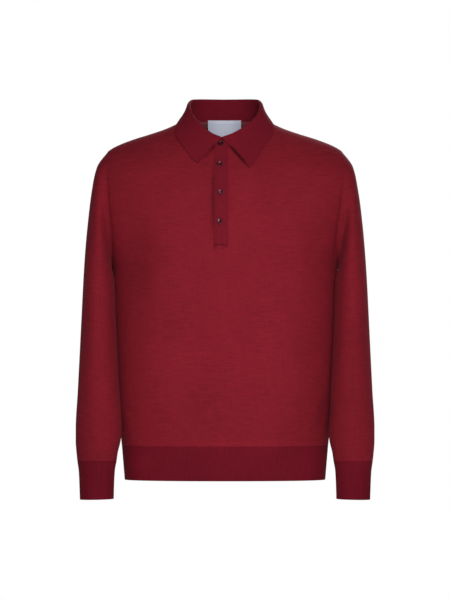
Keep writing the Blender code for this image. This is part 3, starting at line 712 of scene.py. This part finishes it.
def torso_fields(skin, column, band_rows, body_rows, chest_rows, strip_rows):
    """Adds front, back, hem band and the field under the placket, and gives the armholes' loops."""
    share = column_share(column)
    neck = np.abs(column) <= NECK_COLUMN + TINY
    left = column <= -NECK_COLUMN + TINY
    right = column >= NECK_COLUMN - TINY
    slot = (column[:-1] > SLOT_LEFT - TINY) & (column[1:] < SLOT_RIGHT + TINY)
    for front in (True, False):
        side = "front" if front else "back"
        for heights, piece in (
            (np.linspace(HEM, HEM_BAND_TOP, band_rows + 1), "hem_" + side),
            (np.linspace(HEM_BAND_TOP, ARMPIT, body_rows + 1), side),
        ):
            width = side_across(share, heights[:, None])
            skin.add(torso(share * width, heights[:, None], front), piece, flip=not front)

    seam_height = smooth(FORWARD_SEAM["across"], FORWARD_SEAM["height"], np.abs(column))
    seam_run = run_at(column, seam_height, True)
    rows = armhole_rows(chest_rows, FORWARD_SEAM["height"][-1], True)
    rows, slot_start = slot_row(column, rows, float(run_at(PLACKET_MIDDLE, SEAM_LEVEL, True)))
    chest = field_above_armpit(column, rows, column, seam_run, True)
    skin.add(chest, lambda i, j: "placket_under" if slot[j] and i >= slot_start else "front")

    neck_across = neckline_across(column[neck])
    front_run = run_at(neck_across, neckline_height(neck_across, True), True)
    part = np.linspace(0, 1, strip_rows + 1)[:, None]
    across = column[neck] * (1 - part) + neck_across * part
    throat = torso_by_run(across, seam_run[neck] * (1 - part) + front_run * part)
    throat[0] = chest[-1][neck]
    skin.add(throat, lambda i, j: "placket_under" if slot[neck.argmax() + j] else "front")

    beside = np.interp(np.abs(column), [NECK_COLUMN, SHOULDER_ACROSS], [NECK_ACROSS, SHOULDER_ACROSS])
    ridge_across = np.sign(column) * np.where(neck, NECK_ACROSS, beside)
    back_across = neckline_across(column)
    back_run = np.where(neck, run_at(back_across, neckline_height(back_across, False), False), 0.0)
    top_across = np.where(neck, back_across, ridge_across)
    rows = armhole_rows(chest_rows + 1, SHOULDER_POINT, False)
    shoulders = field_above_armpit(column, rows, top_across, back_run, False)
    skin.add(shoulders, "back", flip=True)

    strips = {}
    for side, here in ((-1, left), (1, right)):
        across = column[here] * (1 - part) + ridge_across[here] * part
        strip = torso_by_run(across, seam_run[here] * (1 - part))
        strip[0] = chest[-1][here]
        strip[-1] = shoulders[-1][here]
        inner = -1 if side < 0 else 0
        runs = seam_run[here][inner] * (1 - part[:, 0])
        strip[:, inner] = [torso_by_run(a, r) for a, r in zip(across[:, inner], runs)]
        strips[side] = strip
        skin.add(strip, "back")
    return chest, shoulders, strips


def armhole_loop(chest, shoulders, strips, side):
    """The armhole from the shoulder point down the front to the armpit and up the back."""
    edge = 0 if side < 0 else -1
    strip = strips[side][::-1, edge]
    front = chest[::-1, edge]
    back = shoulders[:, edge]
    return np.concatenate([strip[:-1], front[:-1], back])


def body_clearance(points, loop, gap, softness):
    """Moves a sleeve's points outward until they are just clear of the torso's side."""
    size = np.abs(points[..., 0])
    height = np.minimum(points[..., 2], SHOULDER_POINT)
    inside = np.sign(points[..., 0]) * 0.1
    away = np.linalg.norm(points - loop, axis=-1)
    shares = []
    for front in (True, False):
        deepest = middle_depth(height, front)
        at_edge = (armhole_depth(inside, height, front) / deepest) ** ROUNDNESS
        crown = np.clip((np.abs(points[..., 1]) / deepest) ** ROUNDNESS, at_edge, 1)
        shares.append(((1 - crown) / (1 - at_edge)) ** (1 / ROUNDNESS))
    share = np.where(points[..., 1] < 0, shares[0], shares[1])
    fade = ease(away / SLEEVE_FADE)
    side = side_across(inside, height) * share + gap * fade
    soft = softness * fade + 1e-5
    spare = np.minimum((size - side) / soft, SPARE_LIMIT)
    moved = np.where(spare < SPARE_LIMIT, side + soft * np.logaddexp(0, spare), size)
    result = points.copy()
    result[..., 0] = np.sign(points[..., 0]) * moved
    return result


def sleeve_rings(loop, side):
    """Rings of a sleeve from the armhole to the cuff's end, and the row where the cuff starts."""
    turn = np.arccos(np.clip((loop[:, 2] - ARMHOLE_MIDDLE) / ARMHOLE_HALF, -1, 1))
    armpit = int(np.argmin(loop[:, 2]))
    angle = np.where(np.arange(len(loop)) <= armpit, turn, 2 * math.pi - turn)[:, None]
    forward = SLEEVE["forward_left"] if side < 0 else SLEEVE["forward_right"]
    rings = [loop]
    for row in range(len(forward)):
        outer, inner = (
            np.array([side * SLEEVE[e + "_across"][row], -forward[row], SLEEVE[e + "_height"][row]])
            for e in ("outer", "inner"))
        deep = np.array([0.0, -SLEEVE["half_depth"][row], 0.0])
        rings.append((outer + inner) / 2 + (outer - inner) / 2 * np.cos(angle) + deep * np.sin(angle))
    rings = np.array(rings)
    spread = np.linalg.norm(np.diff(rings, axis=0), axis=-1).mean(axis=1)
    knots = np.concatenate([[0], np.cumsum(spread)])
    runs = [np.linspace(a, b, n, endpoint=False) for a, b, n in zip(knots, knots[1:], SLEEVE_STEPS)]
    at = np.append(np.concatenate(runs), knots[-1])
    lofted = smooth(knots, rings, at)
    lofted[1:] = body_clearance(lofted[1:], loop, SLEEVE_CLEARANCE, SLEEVE_SOFTNESS)
    lofted[:, -1] = lofted[:, 0]
    return lofted, sum(SLEEVE_STEPS[:CUFF_SECTION + 1])


# ---- The collar

def neck_stations(column):
    """Neckline points all round from the closure's left side, over the back, to its right side."""
    neck = column[np.abs(column) <= NECK_COLUMN + TINY]
    left = neck[neck < CLOSURE - CLOSURE_FREE][::-1]
    right = neck[neck > CLOSURE + CLOSURE_FREE]
    left = np.concatenate([[CLOSURE - CLOSURE_GAP], left])
    right = np.concatenate([[CLOSURE + CLOSURE_GAP], right])
    stations = []
    for side, part in ((-1, left), (1, right)):
        reach = NECK_COLUMN - side * CLOSURE
        angle = 180 - 90 * np.abs(part - CLOSURE) / reach
        stations.append([(side, True, c, a) for c, a in zip(part, angle)])
    back = [(-1 if c < 0 else 1, False, c, 90 * abs(c) / NECK_COLUMN) for c in neck[1:-1]]
    return stations[0] + back + stations[1][::-1]


def clear_of_panels(point, clearance):
    """Lifts a point of the fall until the collar's thickness is clear of the panel under it."""
    across, depth, height = point
    if height > float(ridge_height(across)) - 0.0003:
        return point
    front = depth < 0
    normal = torso_normal(across, height - 0.0005, front)
    away = (abs(depth) - float(torso_depth(across, height, front))) * abs(normal[1])
    lift = CLEARANCE_SOFTNESS * np.logaddexp(0, (clearance - away) / CLEARANCE_SOFTNESS)
    return point + normal * lift


def collar_section(side, front, column, angle):
    """The collar's middle surface at one station: up the stand, over the roll and down the fall."""
    stand_steps, roll_steps, fall_steps = COLLAR_STEPS
    across = float(neckline_across(column))
    height = float(neckline_height(across, front))
    seam = torso(across, height, front)
    normal = torso_normal(across, height - 0.001, front)
    row = {key: float(smooth(COLLAR["angle"], COLLAR[key], angle)) for key in COLLAR}
    shift = CLOSURE * ease((angle - SHIFT_FROM) / (180 - SHIFT_FROM))
    if angle > CLOSURE_ANGLE:
        shift = across
    roll_across = shift + side * row["roll_across"] if abs(column) > TINY else shift
    radius = row["roll_radius"]
    top = row["roll_top"] - COLLAR_KNIT / 2
    around = math.radians(angle)
    parting = ease((angle - PARTING_FROM) / (180 - PARTING_FROM))
    outward = np.array([side * math.sin(around), math.cos(around), 0.0])
    inner = np.array([roll_across, row["roll_back"], top - radius])
    lean = unit(inner - seam)
    seat = unit(lean - normal * np.dot(lean, normal))
    base = seam - normal * KNIT / 2 + seat * (STAND_SEAT - FRONT_SEAT_LESS * parting)
    centre = inner + outward * radius
    outer = centre + outward * radius
    edge_across = side * row["left_across" if side < 0 else "right_across"]
    edge_height = row["left_height" if side < 0 else "right_height"]
    edge_height = min(edge_height, float(ridge_height(edge_across)))
    on_panel = torso(edge_across, edge_height, front)
    edge_normal = torso_normal(edge_across, edge_height - 0.0015, front)
    edge = on_panel + edge_normal * (SEAM_GAP + COLLAR_KNIT / 2 + 0.0003)
    way = unit(edge - outer)
    flat = ease((angle - FLAT_FROM) / FLAT_OVER)
    arrive = unit(way - edge_normal * np.dot(way, edge_normal) * (ARRIVE_FLAT + ARRIVE_FLATTER * flat))
    aside = np.array([side * LEAVE_ASIDE * parting, 0.0, -1.0])
    leave = unit(outward * LEAVE_OUT + way * flat * LEAVE_FLAT + aside)
    length = np.linalg.norm(edge - outer)
    soon = length * (HANDLE - HANDLE_LESS * parting)
    knots = [outer, outer + leave * soon, edge - arrive * length * HANDLE, edge]

    points = [base + (inner - base) * t for t in np.linspace(0, 1, stand_steps, endpoint=False)]
    for t in np.linspace(0, math.pi, roll_steps, endpoint=False):
        points.append(centre - outward * radius * math.cos(t) + np.array([0, 0, radius * math.sin(t)]))
    for t in np.linspace(0, 1, fall_steps + 1):
        weights = [(1 - t) ** 3, 3 * t * (1 - t) ** 2, 3 * t * t * (1 - t), t ** 3]
        lift = FALL_CLEARANCE + SHOULDER_LIFT * ease((LIFTED_UP_TO - angle) / LIFT_OVER)
        points.append(clear_of_panels(sum(w * k for w, k in zip(weights, knots)), lift))
    return points


def collar_skin(column):
    return skin_of(np.array([collar_section(*station) for station in neck_stations(column)]))


# Slot, wall, and the flat cut of each panel: its width and length, and its area
PANELS = {
    "front": ("knit", KNIT, (0.549, 0.600), 0.284),
    "back": ("knit", KNIT, (0.536, 0.700), 0.328),
    "placket_under": ("band_knit", KNIT, (0.0229, 0.2120), 0.00484),
    "hem_front": ("rib", RIB, (0.491, 0.065), 0.0308),
    "hem_back": ("rib", RIB, (0.485, 0.065), 0.0304),
    "sleeve_left": ("knit", KNIT, (0.551, 0.598), 0.148),
    "sleeve_right": ("knit", KNIT, (0.564, 0.600), 0.149),
    "cuff_left": ("rib", RIB, (0.215, 0.0755), 0.0159),
    "cuff_right": ("rib", RIB, (0.215, 0.0754), 0.0159),
}
OVERLAYS = {
    "collar": ((0.548, 0.0943), 0.0376),
    "placket_over": ((0.0264, 0.2060), 0.0053),
    "neck_label": ((0.0632, 0.0460), 0.0029),
}


# ---- Placket, label, buttons

def placket_skin():
    across = np.linspace(OVER_LEFT, OVER_RIGHT, 17)
    heights = np.linspace(OVER_BOTTOM, OVER_TOP, 121)[:, None]
    skin = skin_of(torso(across, heights, True))
    skin.crease()
    return skin


def tape_skin(column):
    """Neck tape: from a little way up the collar's stand, over the seam, down inside the panels."""
    sections = []
    for side, front, place, angle in neck_stations(column):
        around = math.radians(angle)
        outward = np.array([side * math.sin(around), math.cos(around), 0.0])
        stand = collar_section(side, front, place, angle)
        lean = unit(stand[1] - stand[0])
        inside = unit(lean * np.dot(outward, lean) - outward) * TAPE_INSIDE_STAND
        rise = ease((angle - TAPE_RISE_FROM) / (180 - TAPE_RISE_FROM))
        top = TAPE_UP + (TAPE_UP_FRONT - TAPE_UP) * rise
        section = [stand[0] + lean * up + inside for up in (top, TAPE_UP / 2)]
        across = float(neckline_across(place))
        run = float(run_at(across, float(neckline_height(across, front)), front))
        for low in (TAPE_TURN, TAPE_DOWN / 2, TAPE_DOWN):
            at, after = across + outward[0] * low, run - outward[1] * low
            height = float(height_at(at, after))
            normal = torso_normal(at, height - 0.001, after > 0)
            section.append(torso(at, height, after > 0) - normal * TAPE_INSIDE)
        sections.append(section)
    sections.append(sections[0])
    return skin_of(np.array(sections))


def label_skin():
    """The label hangs inside the back neck from the collar's seat, leaning back a little."""
    heights = np.linspace(LABEL_BOTTOM, LABEL_TOP, 41)[:, None]
    across = np.linspace(LABEL_LEFT, LABEL_RIGHT, 61)
    seam_height = neckline_height(across, False)
    seam_depth = torso_depth(across, seam_height, False)
    below = np.maximum(seam_height - heights, 0)
    middle = (LABEL_LEFT + LABEL_RIGHT) / 2
    share = (across - middle) / (LABEL_RIGHT - middle)
    bow = LABEL_BOW * (1 - share ** 2) * ease(below / (LABEL_TOP - LABEL_BOTTOM))
    depth = seam_depth - LABEL_SET_IN + LABEL_LEAN * below - bow
    return skin_of(np.stack(np.broadcast_arrays(across, depth, heights), axis=-1))


def seat_on_band(across, height):
    """Place, normal, sideways and upward directions on the placket's over band."""
    normal = torso_normal(across, height, True)
    place = torso(across, height, True)
    place = place + normal * (OVERLAY_GAP + BAND_KNIT + relief(place))
    side = unit(np.cross([0.0, 0.0, 1.0], normal))
    return place, normal, side, np.cross(normal, side)


def tube_faces(base, segments, rings):
    """Faces of a closed tube of rings, whose two end points follow the rings."""
    start = base + segments * rings
    last = start - segments
    faces = []
    for k in range(segments):
        step = (k + 1) % segments
        for low in range(base, last, segments):
            high = low + segments
            faces.append([low + k, low + step, high + step, high + k])
        faces.append([start, base + step, base + k])
        faces.append([start + 1, last + k, last + step])
    return faces


def lathe(profile, seat, normal, side, up, segments):
    """A closed round body from (distance, level) pairs that start and end near the axis."""
    turns = np.linspace(0, 2 * math.pi, segments, endpoint=False)
    rings = [seat + d * (np.cos(turns)[:, None] * side + np.sin(turns)[:, None] * up) + normal * level
             for d, level in profile]
    points = np.concatenate(rings + [[seat + normal * profile[0][1]], [seat + normal * profile[-1][1]]])
    return points, tube_faces(0, segments, len(profile))


def button(name, across, height, tilt):
    """A dished button with a rounded rim and four holes, sewn on with a cross of thread."""
    place, normal, side, up = seat_on_band(across, height)
    seat = place + normal * (SEAM_GAP + BUTTON_RADIUS * math.hypot(*tilt))
    normal = unit(normal + side * tilt[0] + up * tilt[1])
    side = unit(side - normal * np.dot(side, normal))
    up = np.cross(normal, side)
    radius, thick = BUTTON_RADIUS, BUTTON_THICKNESS
    profile = [(radius * d, thick * level) for d, level in BUTTON_PROFILE]
    disc = lathe(profile, seat, normal, side, up, BUTTON_SEGMENTS)
    body = make_object(name, *disc, MATERIALS["button"])
    holes_points, holes_faces = [], []
    for turn in range(4):
        angle = math.pi / 4 + turn * math.pi / 2
        centre = seat + BUTTON_HOLE_OUT * (math.cos(angle) * side + math.sin(angle) * up)
        hole = [(BUTTON_HOLE_RADIUS, -thick), (BUTTON_HOLE_RADIUS, 2 * thick)]
        points, faces = lathe(hole, centre, normal, side, up, HOLE_SEGMENTS)
        holes_faces += [[v + len(points) * turn for v in face] for face in faces]
        holes_points.append(points)
    cutter = make_object("holes", np.concatenate(holes_points), holes_faces, MATERIALS["button"])
    cut = body.modifiers.new("holes", "BOOLEAN")
    cut.operation = "DIFFERENCE"
    cut.object = cutter
    apply_modifiers(body)
    bpy.data.objects.remove(cutter, do_unlink=True)
    sharpen(body)
    threads = []
    for turn in range(2):
        angle = math.pi / 4 + turn * math.pi / 2
        along = math.cos(angle) * side + math.sin(angle) * up
        middle = seat + normal * thick * (0.62 + 0.10 * turn)
        threads.append((middle, along, normal, 2.3 * BUTTON_HOLE_OUT, THREAD_RADIUS * 1.5))
    return body, stitches(name + "_thread", threads)


# ---- Stitches

def stitches(name, rows):
    """One mesh of many small stitches, each a place, a direction, a normal, a length and a radius."""
    sides, rings = 6, 5
    levels = np.linspace(-1, 1, rings + 2)[1:-1]
    swell = np.sqrt(1 - levels ** 2)
    turns = np.linspace(0, 2 * math.pi, sides, endpoint=False)
    points, faces = [], []
    for place, along, normal, length, radius in rows:
        across = np.cross(along, normal)
        base = len(points)
        for level, size in zip(levels, swell):
            centre = place + along * level * length / 2
            for turn in turns:
                out = math.cos(turn) * across + 0.7 * math.sin(turn) * normal
                points.append(centre + out * radius * size)
        points += [place - along * length / 2, place + along * length / 2]
        faces += tube_faces(base, sides, rings)
    return make_object(name, np.array(points), faces, MATERIALS["thread"])


def stitch_line(corners, pitch, length):
    """Stitches along a broken line of (across, height) corners on the placket's over band."""
    rows = []
    for (a, low), (b, high) in zip(corners, corners[1:]):
        count = max(int(round(math.hypot(b - a, high - low) / pitch)), 1)
        for k in range(count):
            part = (k + 0.5) / count
            across, height = a + (b - a) * part, low + (high - low) * part
            place, normal, side, up = seat_on_band(across, height)
            run = unit(side * (b - a) + up * (high - low))
            rows.append((place, run, normal, length, THREAD_RADIUS))
    return rows


def buttonhole(across, height):
    """Close stitches on both sides of an upright slit."""
    rows = []
    for k in range(BUTTONHOLE_STITCHES):
        level = (k + 0.5) / BUTTONHOLE_STITCHES - 0.5
        for way in (-1, 1):
            at = across + way * BUTTONHOLE_HALF_WIDTH
            place, normal, side = seat_on_band(at, height + level * BUTTONHOLE_LENGTH)[:3]
            rows.append((place, side, normal, 2 * BUTTONHOLE_HALF_WIDTH, THREAD_RADIUS))
    return rows


# ---- Materials

def add_node(made, kind, values, sources):
    """A shader node of a material, with its inputs set to values or linked to sources."""
    node = made.node_tree.nodes.new("ShaderNode" + kind)
    for socket, value in values.items():
        node.inputs[socket].default_value = value
    for socket, source in sources.items():
        made.node_tree.links.new(source, node.inputs[socket])
    return node


def noise_field(made, scale, detail):
    """Noise whose grain has its own scale in each direction."""
    place = add_node(made, "TexCoord", {}, {}).outputs["Object"]
    scaled = add_node(made, "Mapping", {"Scale": scale}, {"Vector": place}).outputs["Vector"]
    return add_node(made, "TexNoise", {"Scale": 1.0, "Detail": detail}, {"Vector": scaled}).outputs["Fac"]


def raise_grain(made, height, strength, distance):
    bump = add_node(made, "Bump", {"Strength": strength, "Distance": distance}, {"Height": height})
    shader = made.node_tree.nodes["Principled BSDF"]
    made.node_tree.links.new(bump.outputs["Normal"], shader.inputs["Normal"])


def combine(made, operation, one, other):
    node = add_node(made, "Math", {}, {0: one, 1: other})
    node.operation = operation
    return node.outputs["Value"]


def knit(name, colour, fleck, wale, sheen):
    """Fine jersey: soft clouds of tone, short level flecks of uneven yarn and faint upright wales, on the
    seam tones and the painted shade and painted light kept on each mesh.
    """
    made = plain(name, colour, 0.85, sheen=sheen)
    shader = made.node_tree.nodes["Principled BSDF"]
    shader.inputs["Specular IOR Level"].default_value = 0.06
    shader.inputs["Sheen Roughness"].default_value = 0.5
    shader.inputs["Sheen Tint"].default_value = (1.0, 0.20, 0.25, 1.0)
    clouds = noise_field(made, (9.0, 9.0, 7.0), 2.0)
    flecks = noise_field(made, (60.0, 60.0, 620.0), 3.0)
    wales = noise_field(made, (650.0, 650.0, 14.0), 1.0)
    # Seam tones, painted shade and painted light that each point of the mesh keeps
    mark = add_node(made, "Attribute", {}, {})
    mark.attribute_name = "seam_tone_and_painted_light"
    seam_tone_and_painted_light = mark.outputs["Fac"]
    for field, amount in ((clouds, CLOUD), (flecks, fleck), (wales, wale)):
        limits = {"From Min": 0.30, "From Max": 0.70, "To Min": 1 - amount, "To Max": 1 + amount}
        spread = add_node(made, "MapRange", limits, {"Value": field})
        seam_tone_and_painted_light = combine(made, "MULTIPLY", seam_tone_and_painted_light, spread.outputs["Result"])
    paint = add_node(made, "VectorMath", {0: colour}, {})
    paint.operation = "SCALE"
    made.node_tree.links.new(seam_tone_and_painted_light, paint.inputs["Scale"])
    made.node_tree.links.new(paint.outputs["Vector"], shader.inputs["Base Color"])
    raise_grain(made, combine(made, "ADD", flecks, wales), 0.35, 0.0004)
    return made


def plain(name, colour, roughness, shine=(1.0, 1.0, 1.0), sheen=0.0):
    made = bpy.data.materials.new(name)
    made.use_nodes = True
    shader = made.node_tree.nodes["Principled BSDF"]
    shader.inputs["Base Color"].default_value = (*colour, 1.0)
    shader.inputs["Roughness"].default_value = roughness
    shader.inputs["Specular Tint"].default_value = (*shine, 1.0)
    shader.inputs["Sheen Weight"].default_value = sheen
    return made


def satin(name, colour):
    """Woven satin: fine level ribs of the weft, and a soft shine."""
    made = plain(name, colour, 0.42, sheen=0.2)
    raise_grain(made, noise_field(made, (250.0, 250.0, 2600.0), 2.0), 0.3, 0.0002)
    return made


MATERIALS = {
    "knit": knit("burgundy_jersey", BURGUNDY, fleck=0.14, wale=0.05, sheen=0.06),
    # The rib's darker colour is painted shade of its grooves
    "rib": knit("burgundy_rib_with_painted_shade", BURGUNDY_RIB_WITH_PAINTED_SHADE, fleck=0.05, wale=0.10, sheen=0.04),
    "collar_knit": knit("burgundy_collar", BURGUNDY_COLLAR, fleck=0.07, wale=0.07, sheen=0.05),
    "band_knit": knit("burgundy_band", BURGUNDY_BAND, fleck=0.05, wale=0.06, sheen=0.04),
    "button": plain("dark_button", (0.022, 0.003, 0.005), 0.13, shine=(1.0, 0.30, 0.40)),
    "thread": plain("thread", (0.075, 0.004, 0.009), 0.8, shine=(1.0, 0.10, 0.15)),
    "label": satin("label_satin", (0.405, 0.425, 0.525)),
    "tape": plain("neck_tape", BURGUNDY_TAPE, 0.8, shine=(1.0, 0.3, 0.3)),
    "floor": plain("pale_floor", (0.92, 0.92, 0.92), 0.9),
}


# ---- Objects

def make_object(name, points, faces, material):
    mesh = bpy.data.meshes.new(name)
    mesh.from_pydata(np.asarray(points).tolist(), [], faces)
    mesh.materials.append(material)
    mesh.shade_smooth()
    mesh.update()
    made = bpy.data.objects.new(name, mesh)
    bpy.context.scene.collection.objects.link(made)
    return made


def sharpen(piece):
    piece.data.shade_smooth()
    piece.data.set_sharp_from_angle(angle=math.radians(40))


def apply_modifiers(piece):
    evaluated = piece.evaluated_get(bpy.context.evaluated_depsgraph_get())
    mesh = bpy.data.meshes.new_from_object(evaluated)
    piece.modifiers.clear()
    piece.data = mesh


def round_rims(piece, radius):
    """Rounds the square rims of a wall, so that seams show as fine grooves."""
    bevel = piece.modifiers.new("rims", "BEVEL")
    bevel.width = radius
    bevel.segments = 3
    bevel.limit_method = "ANGLE"
    bevel.angle_limit = math.radians(55)
    bevel.use_clamp_overlap = True
    apply_modifiers(piece)
    sharpen(piece)


def set_seam_tones_and_painted_light(piece):
    """Keeps with its mesh each point's seam tone and its painted shade and painted light, for the knit's
    colour.
    """
    places = np.array([point.co for point in piece.data.vertices])
    tone_and_light_attribute = piece.data.attributes.new("seam_tone_and_painted_light", "FLOAT", "POINT")
    tone_and_light_attribute.data.foreach_set("value", 1 + along_lines(places, PAINTED_LIGHT_AND_SEAM_TONES, "change"))


def ride_in_slot(piece):
    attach(piece, "root")


def add_piece(name, node, slot, points, faces, rim):
    piece = make_object(name, points, faces, MATERIALS[slot])
    round_rims(piece, rim)
    # Every piece but the label keeps the seam tones and the painted shade and painted light
    if slot != "label":
        set_seam_tones_and_painted_light(piece)
    ride_in_slot(piece)
    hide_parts(node)
    return piece


def add_overlay(name, node, slot, skin, outward, inward, rim):
    return add_piece(name, node, slot, *wall(skin, "field", outward, inward, gap=0.0), rim)


# ---- The sweater

def make_cloth(column):
    skin = Skin()
    chest, shoulders, strips = torso_fields(
        skin, column, band_rows=14, body_rows=64, chest_rows=54, strip_rows=12)
    for side, name in ((-1, "left"), (1, "right")):
        loop = armhole_loop(chest, shoulders, strips, side)
        rings, cuff_row = sleeve_rings(loop, side)
        skin.add(rings, lambda i, j: ("cuff_" if i >= cuff_row else "sleeve_") + name, flip=side < 0)
    skin.weld()
    skin.crease()
    shared = skin.normals(skin.faces)
    for name, (slot, thickness, flat, area) in PANELS.items():
        points, faces = wall(skin, name, 0.0, -thickness, shared=shared)
        piece = add_piece("cloth_" + name, name, slot, points, faces, SEAM_ROUND)
    half = COLLAR_KNIT / 2
    skin = collar_skin(column)
    piece = add_overlay("cloth_collar", "collar", "collar_knit", skin, half, -half, SEAM_ROUND)
    flat, area = OVERLAYS["collar"]


def make_trim(column):
    top = OVERLAY_GAP + BAND_KNIT
    piece = add_overlay(
        "cloth_placket_over", "placket_over", "band_knit", placket_skin(), top, OVERLAY_GAP, SEAM_ROUND)
    half = TAPE_THICKNESS / 2
    points, faces = wall(tape_skin(column), "field", half, -half, gap=0.0)
    tape = make_object("neck_tape", points, faces, MATERIALS["tape"])
    sharpen(tape)
    ride_in_slot(tape)
    half = LABEL_THICKNESS / 2
    piece = add_overlay("satin_label", "neck_label", "label", label_skin(), half, -half, LABEL_ROUND)
    holes = []
    for number, (across, height) in enumerate(zip(BUTTONS["across"], BUTTONS["height"]), start=1):
        body, thread = button(f"sewn_button_{number}", across, height, BUTTON_TILTS[number - 1])
        ride_in_slot(body)
        ride_in_slot(thread)
        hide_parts(f"button_{number}")
        if number > 1:
            holes += buttonhole(across, height)
    left, right = OVER_LEFT + STITCH_IN, OVER_RIGHT - STITCH_IN
    low = OVER_BOTTOM + STITCH_IN
    high = BOX_STITCH_TOP
    box = [(left, high), (right, high), (right, low), (left, low), (left, high)]
    sewing = stitches("placket_sewing", stitch_line(box, STITCH_PITCH, STITCH_LENGTH) + holes)
    ride_in_slot(sewing)


# ---- Light, floor, camera

def make_lamp(name, kind, place, target, power):
    data = bpy.data.lights.new(name, kind)
    data.energy = power
    lamp = bpy.data.objects.new(name, data)
    bpy.context.scene.collection.objects.link(lamp)
    lamp.location = place
    lamp.rotation_euler = (Vector(target) - Vector(place)).to_track_quat("-Z", "Y").to_euler()
    return data


def make_studio():
    world = bpy.data.worlds.new("studio")
    world.use_nodes = True
    nodes, links = world.node_tree.nodes, world.node_tree.links
    path = nodes.new("ShaderNodeLightPath")
    mix = nodes.new("ShaderNodeMixShader")
    links.new(path.outputs["Is Camera Ray"], mix.inputs[0])
    backdrop = nodes.new("ShaderNodeBackground")
    for number, light, strength in ((1, nodes["Background"], WORLD_LIGHT), (2, backdrop, 1.0)):
        light.inputs["Color"].default_value = (1.0, 1.0, 1.0, 1.0)
        light.inputs["Strength"].default_value = strength
        links.new(light.outputs["Background"], mix.inputs[number])
    links.new(mix.outputs["Shader"], nodes["World Output"].inputs["Surface"])
    bpy.context.scene.world = world
    for name, place, target, power, size in PANEL_LAMPS:
        panel = make_lamp(name, "AREA", place, target, power)
        panel.shape = "SQUARE"
        panel.size = size
    for name, place, target, power, radius in SPOT_LAMPS:
        spot = make_lamp(name, "SPOT", place, target, power)
        spot.spot_size = 2 * math.atan(radius / (Vector(target) - Vector(place)).length)
        spot.spot_blend = 1.0
        spot.shadow_soft_size = SPOT_SOFTNESS
    rings = 96
    turns = np.linspace(0, 2 * math.pi, rings, endpoint=False)
    round_edge = [FLOOR_RADIUS * np.cos(turns), FLOOR_RADIUS * np.sin(turns), np.full(rings, FLOOR)]
    disc = np.stack(round_edge, axis=1)
    floor = make_object("floor", disc, [list(range(rings))], MATERIALS["floor"])


def make_camera():
    data = bpy.data.cameras.new("camera")
    data.sensor_width = SENSOR
    data.lens = SENSOR * CAMERA_AWAY / FRAME_HEIGHT
    data.clip_end = 100.0
    camera = bpy.data.objects.new("camera", data)
    bpy.context.scene.collection.objects.link(camera)
    camera.location = (0.0, -CAMERA_AWAY, CAMERA_HEIGHT)
    camera.rotation_euler = (math.pi / 2, 0.0, 0.0)
    bpy.context.scene.camera = camera


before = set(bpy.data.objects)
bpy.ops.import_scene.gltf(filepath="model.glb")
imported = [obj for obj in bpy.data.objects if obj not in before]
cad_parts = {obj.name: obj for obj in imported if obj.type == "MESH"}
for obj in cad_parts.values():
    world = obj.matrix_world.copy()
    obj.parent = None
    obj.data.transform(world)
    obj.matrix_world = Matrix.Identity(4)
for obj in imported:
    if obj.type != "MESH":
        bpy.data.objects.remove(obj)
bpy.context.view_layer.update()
bpy.context.scene.view_settings.view_transform = "Standard"
column_places = columns(shoulder=30, neck_left=16, slot=8, neck_right=18)
make_cloth(column_places)
make_trim(column_places)
make_studio()
make_camera()
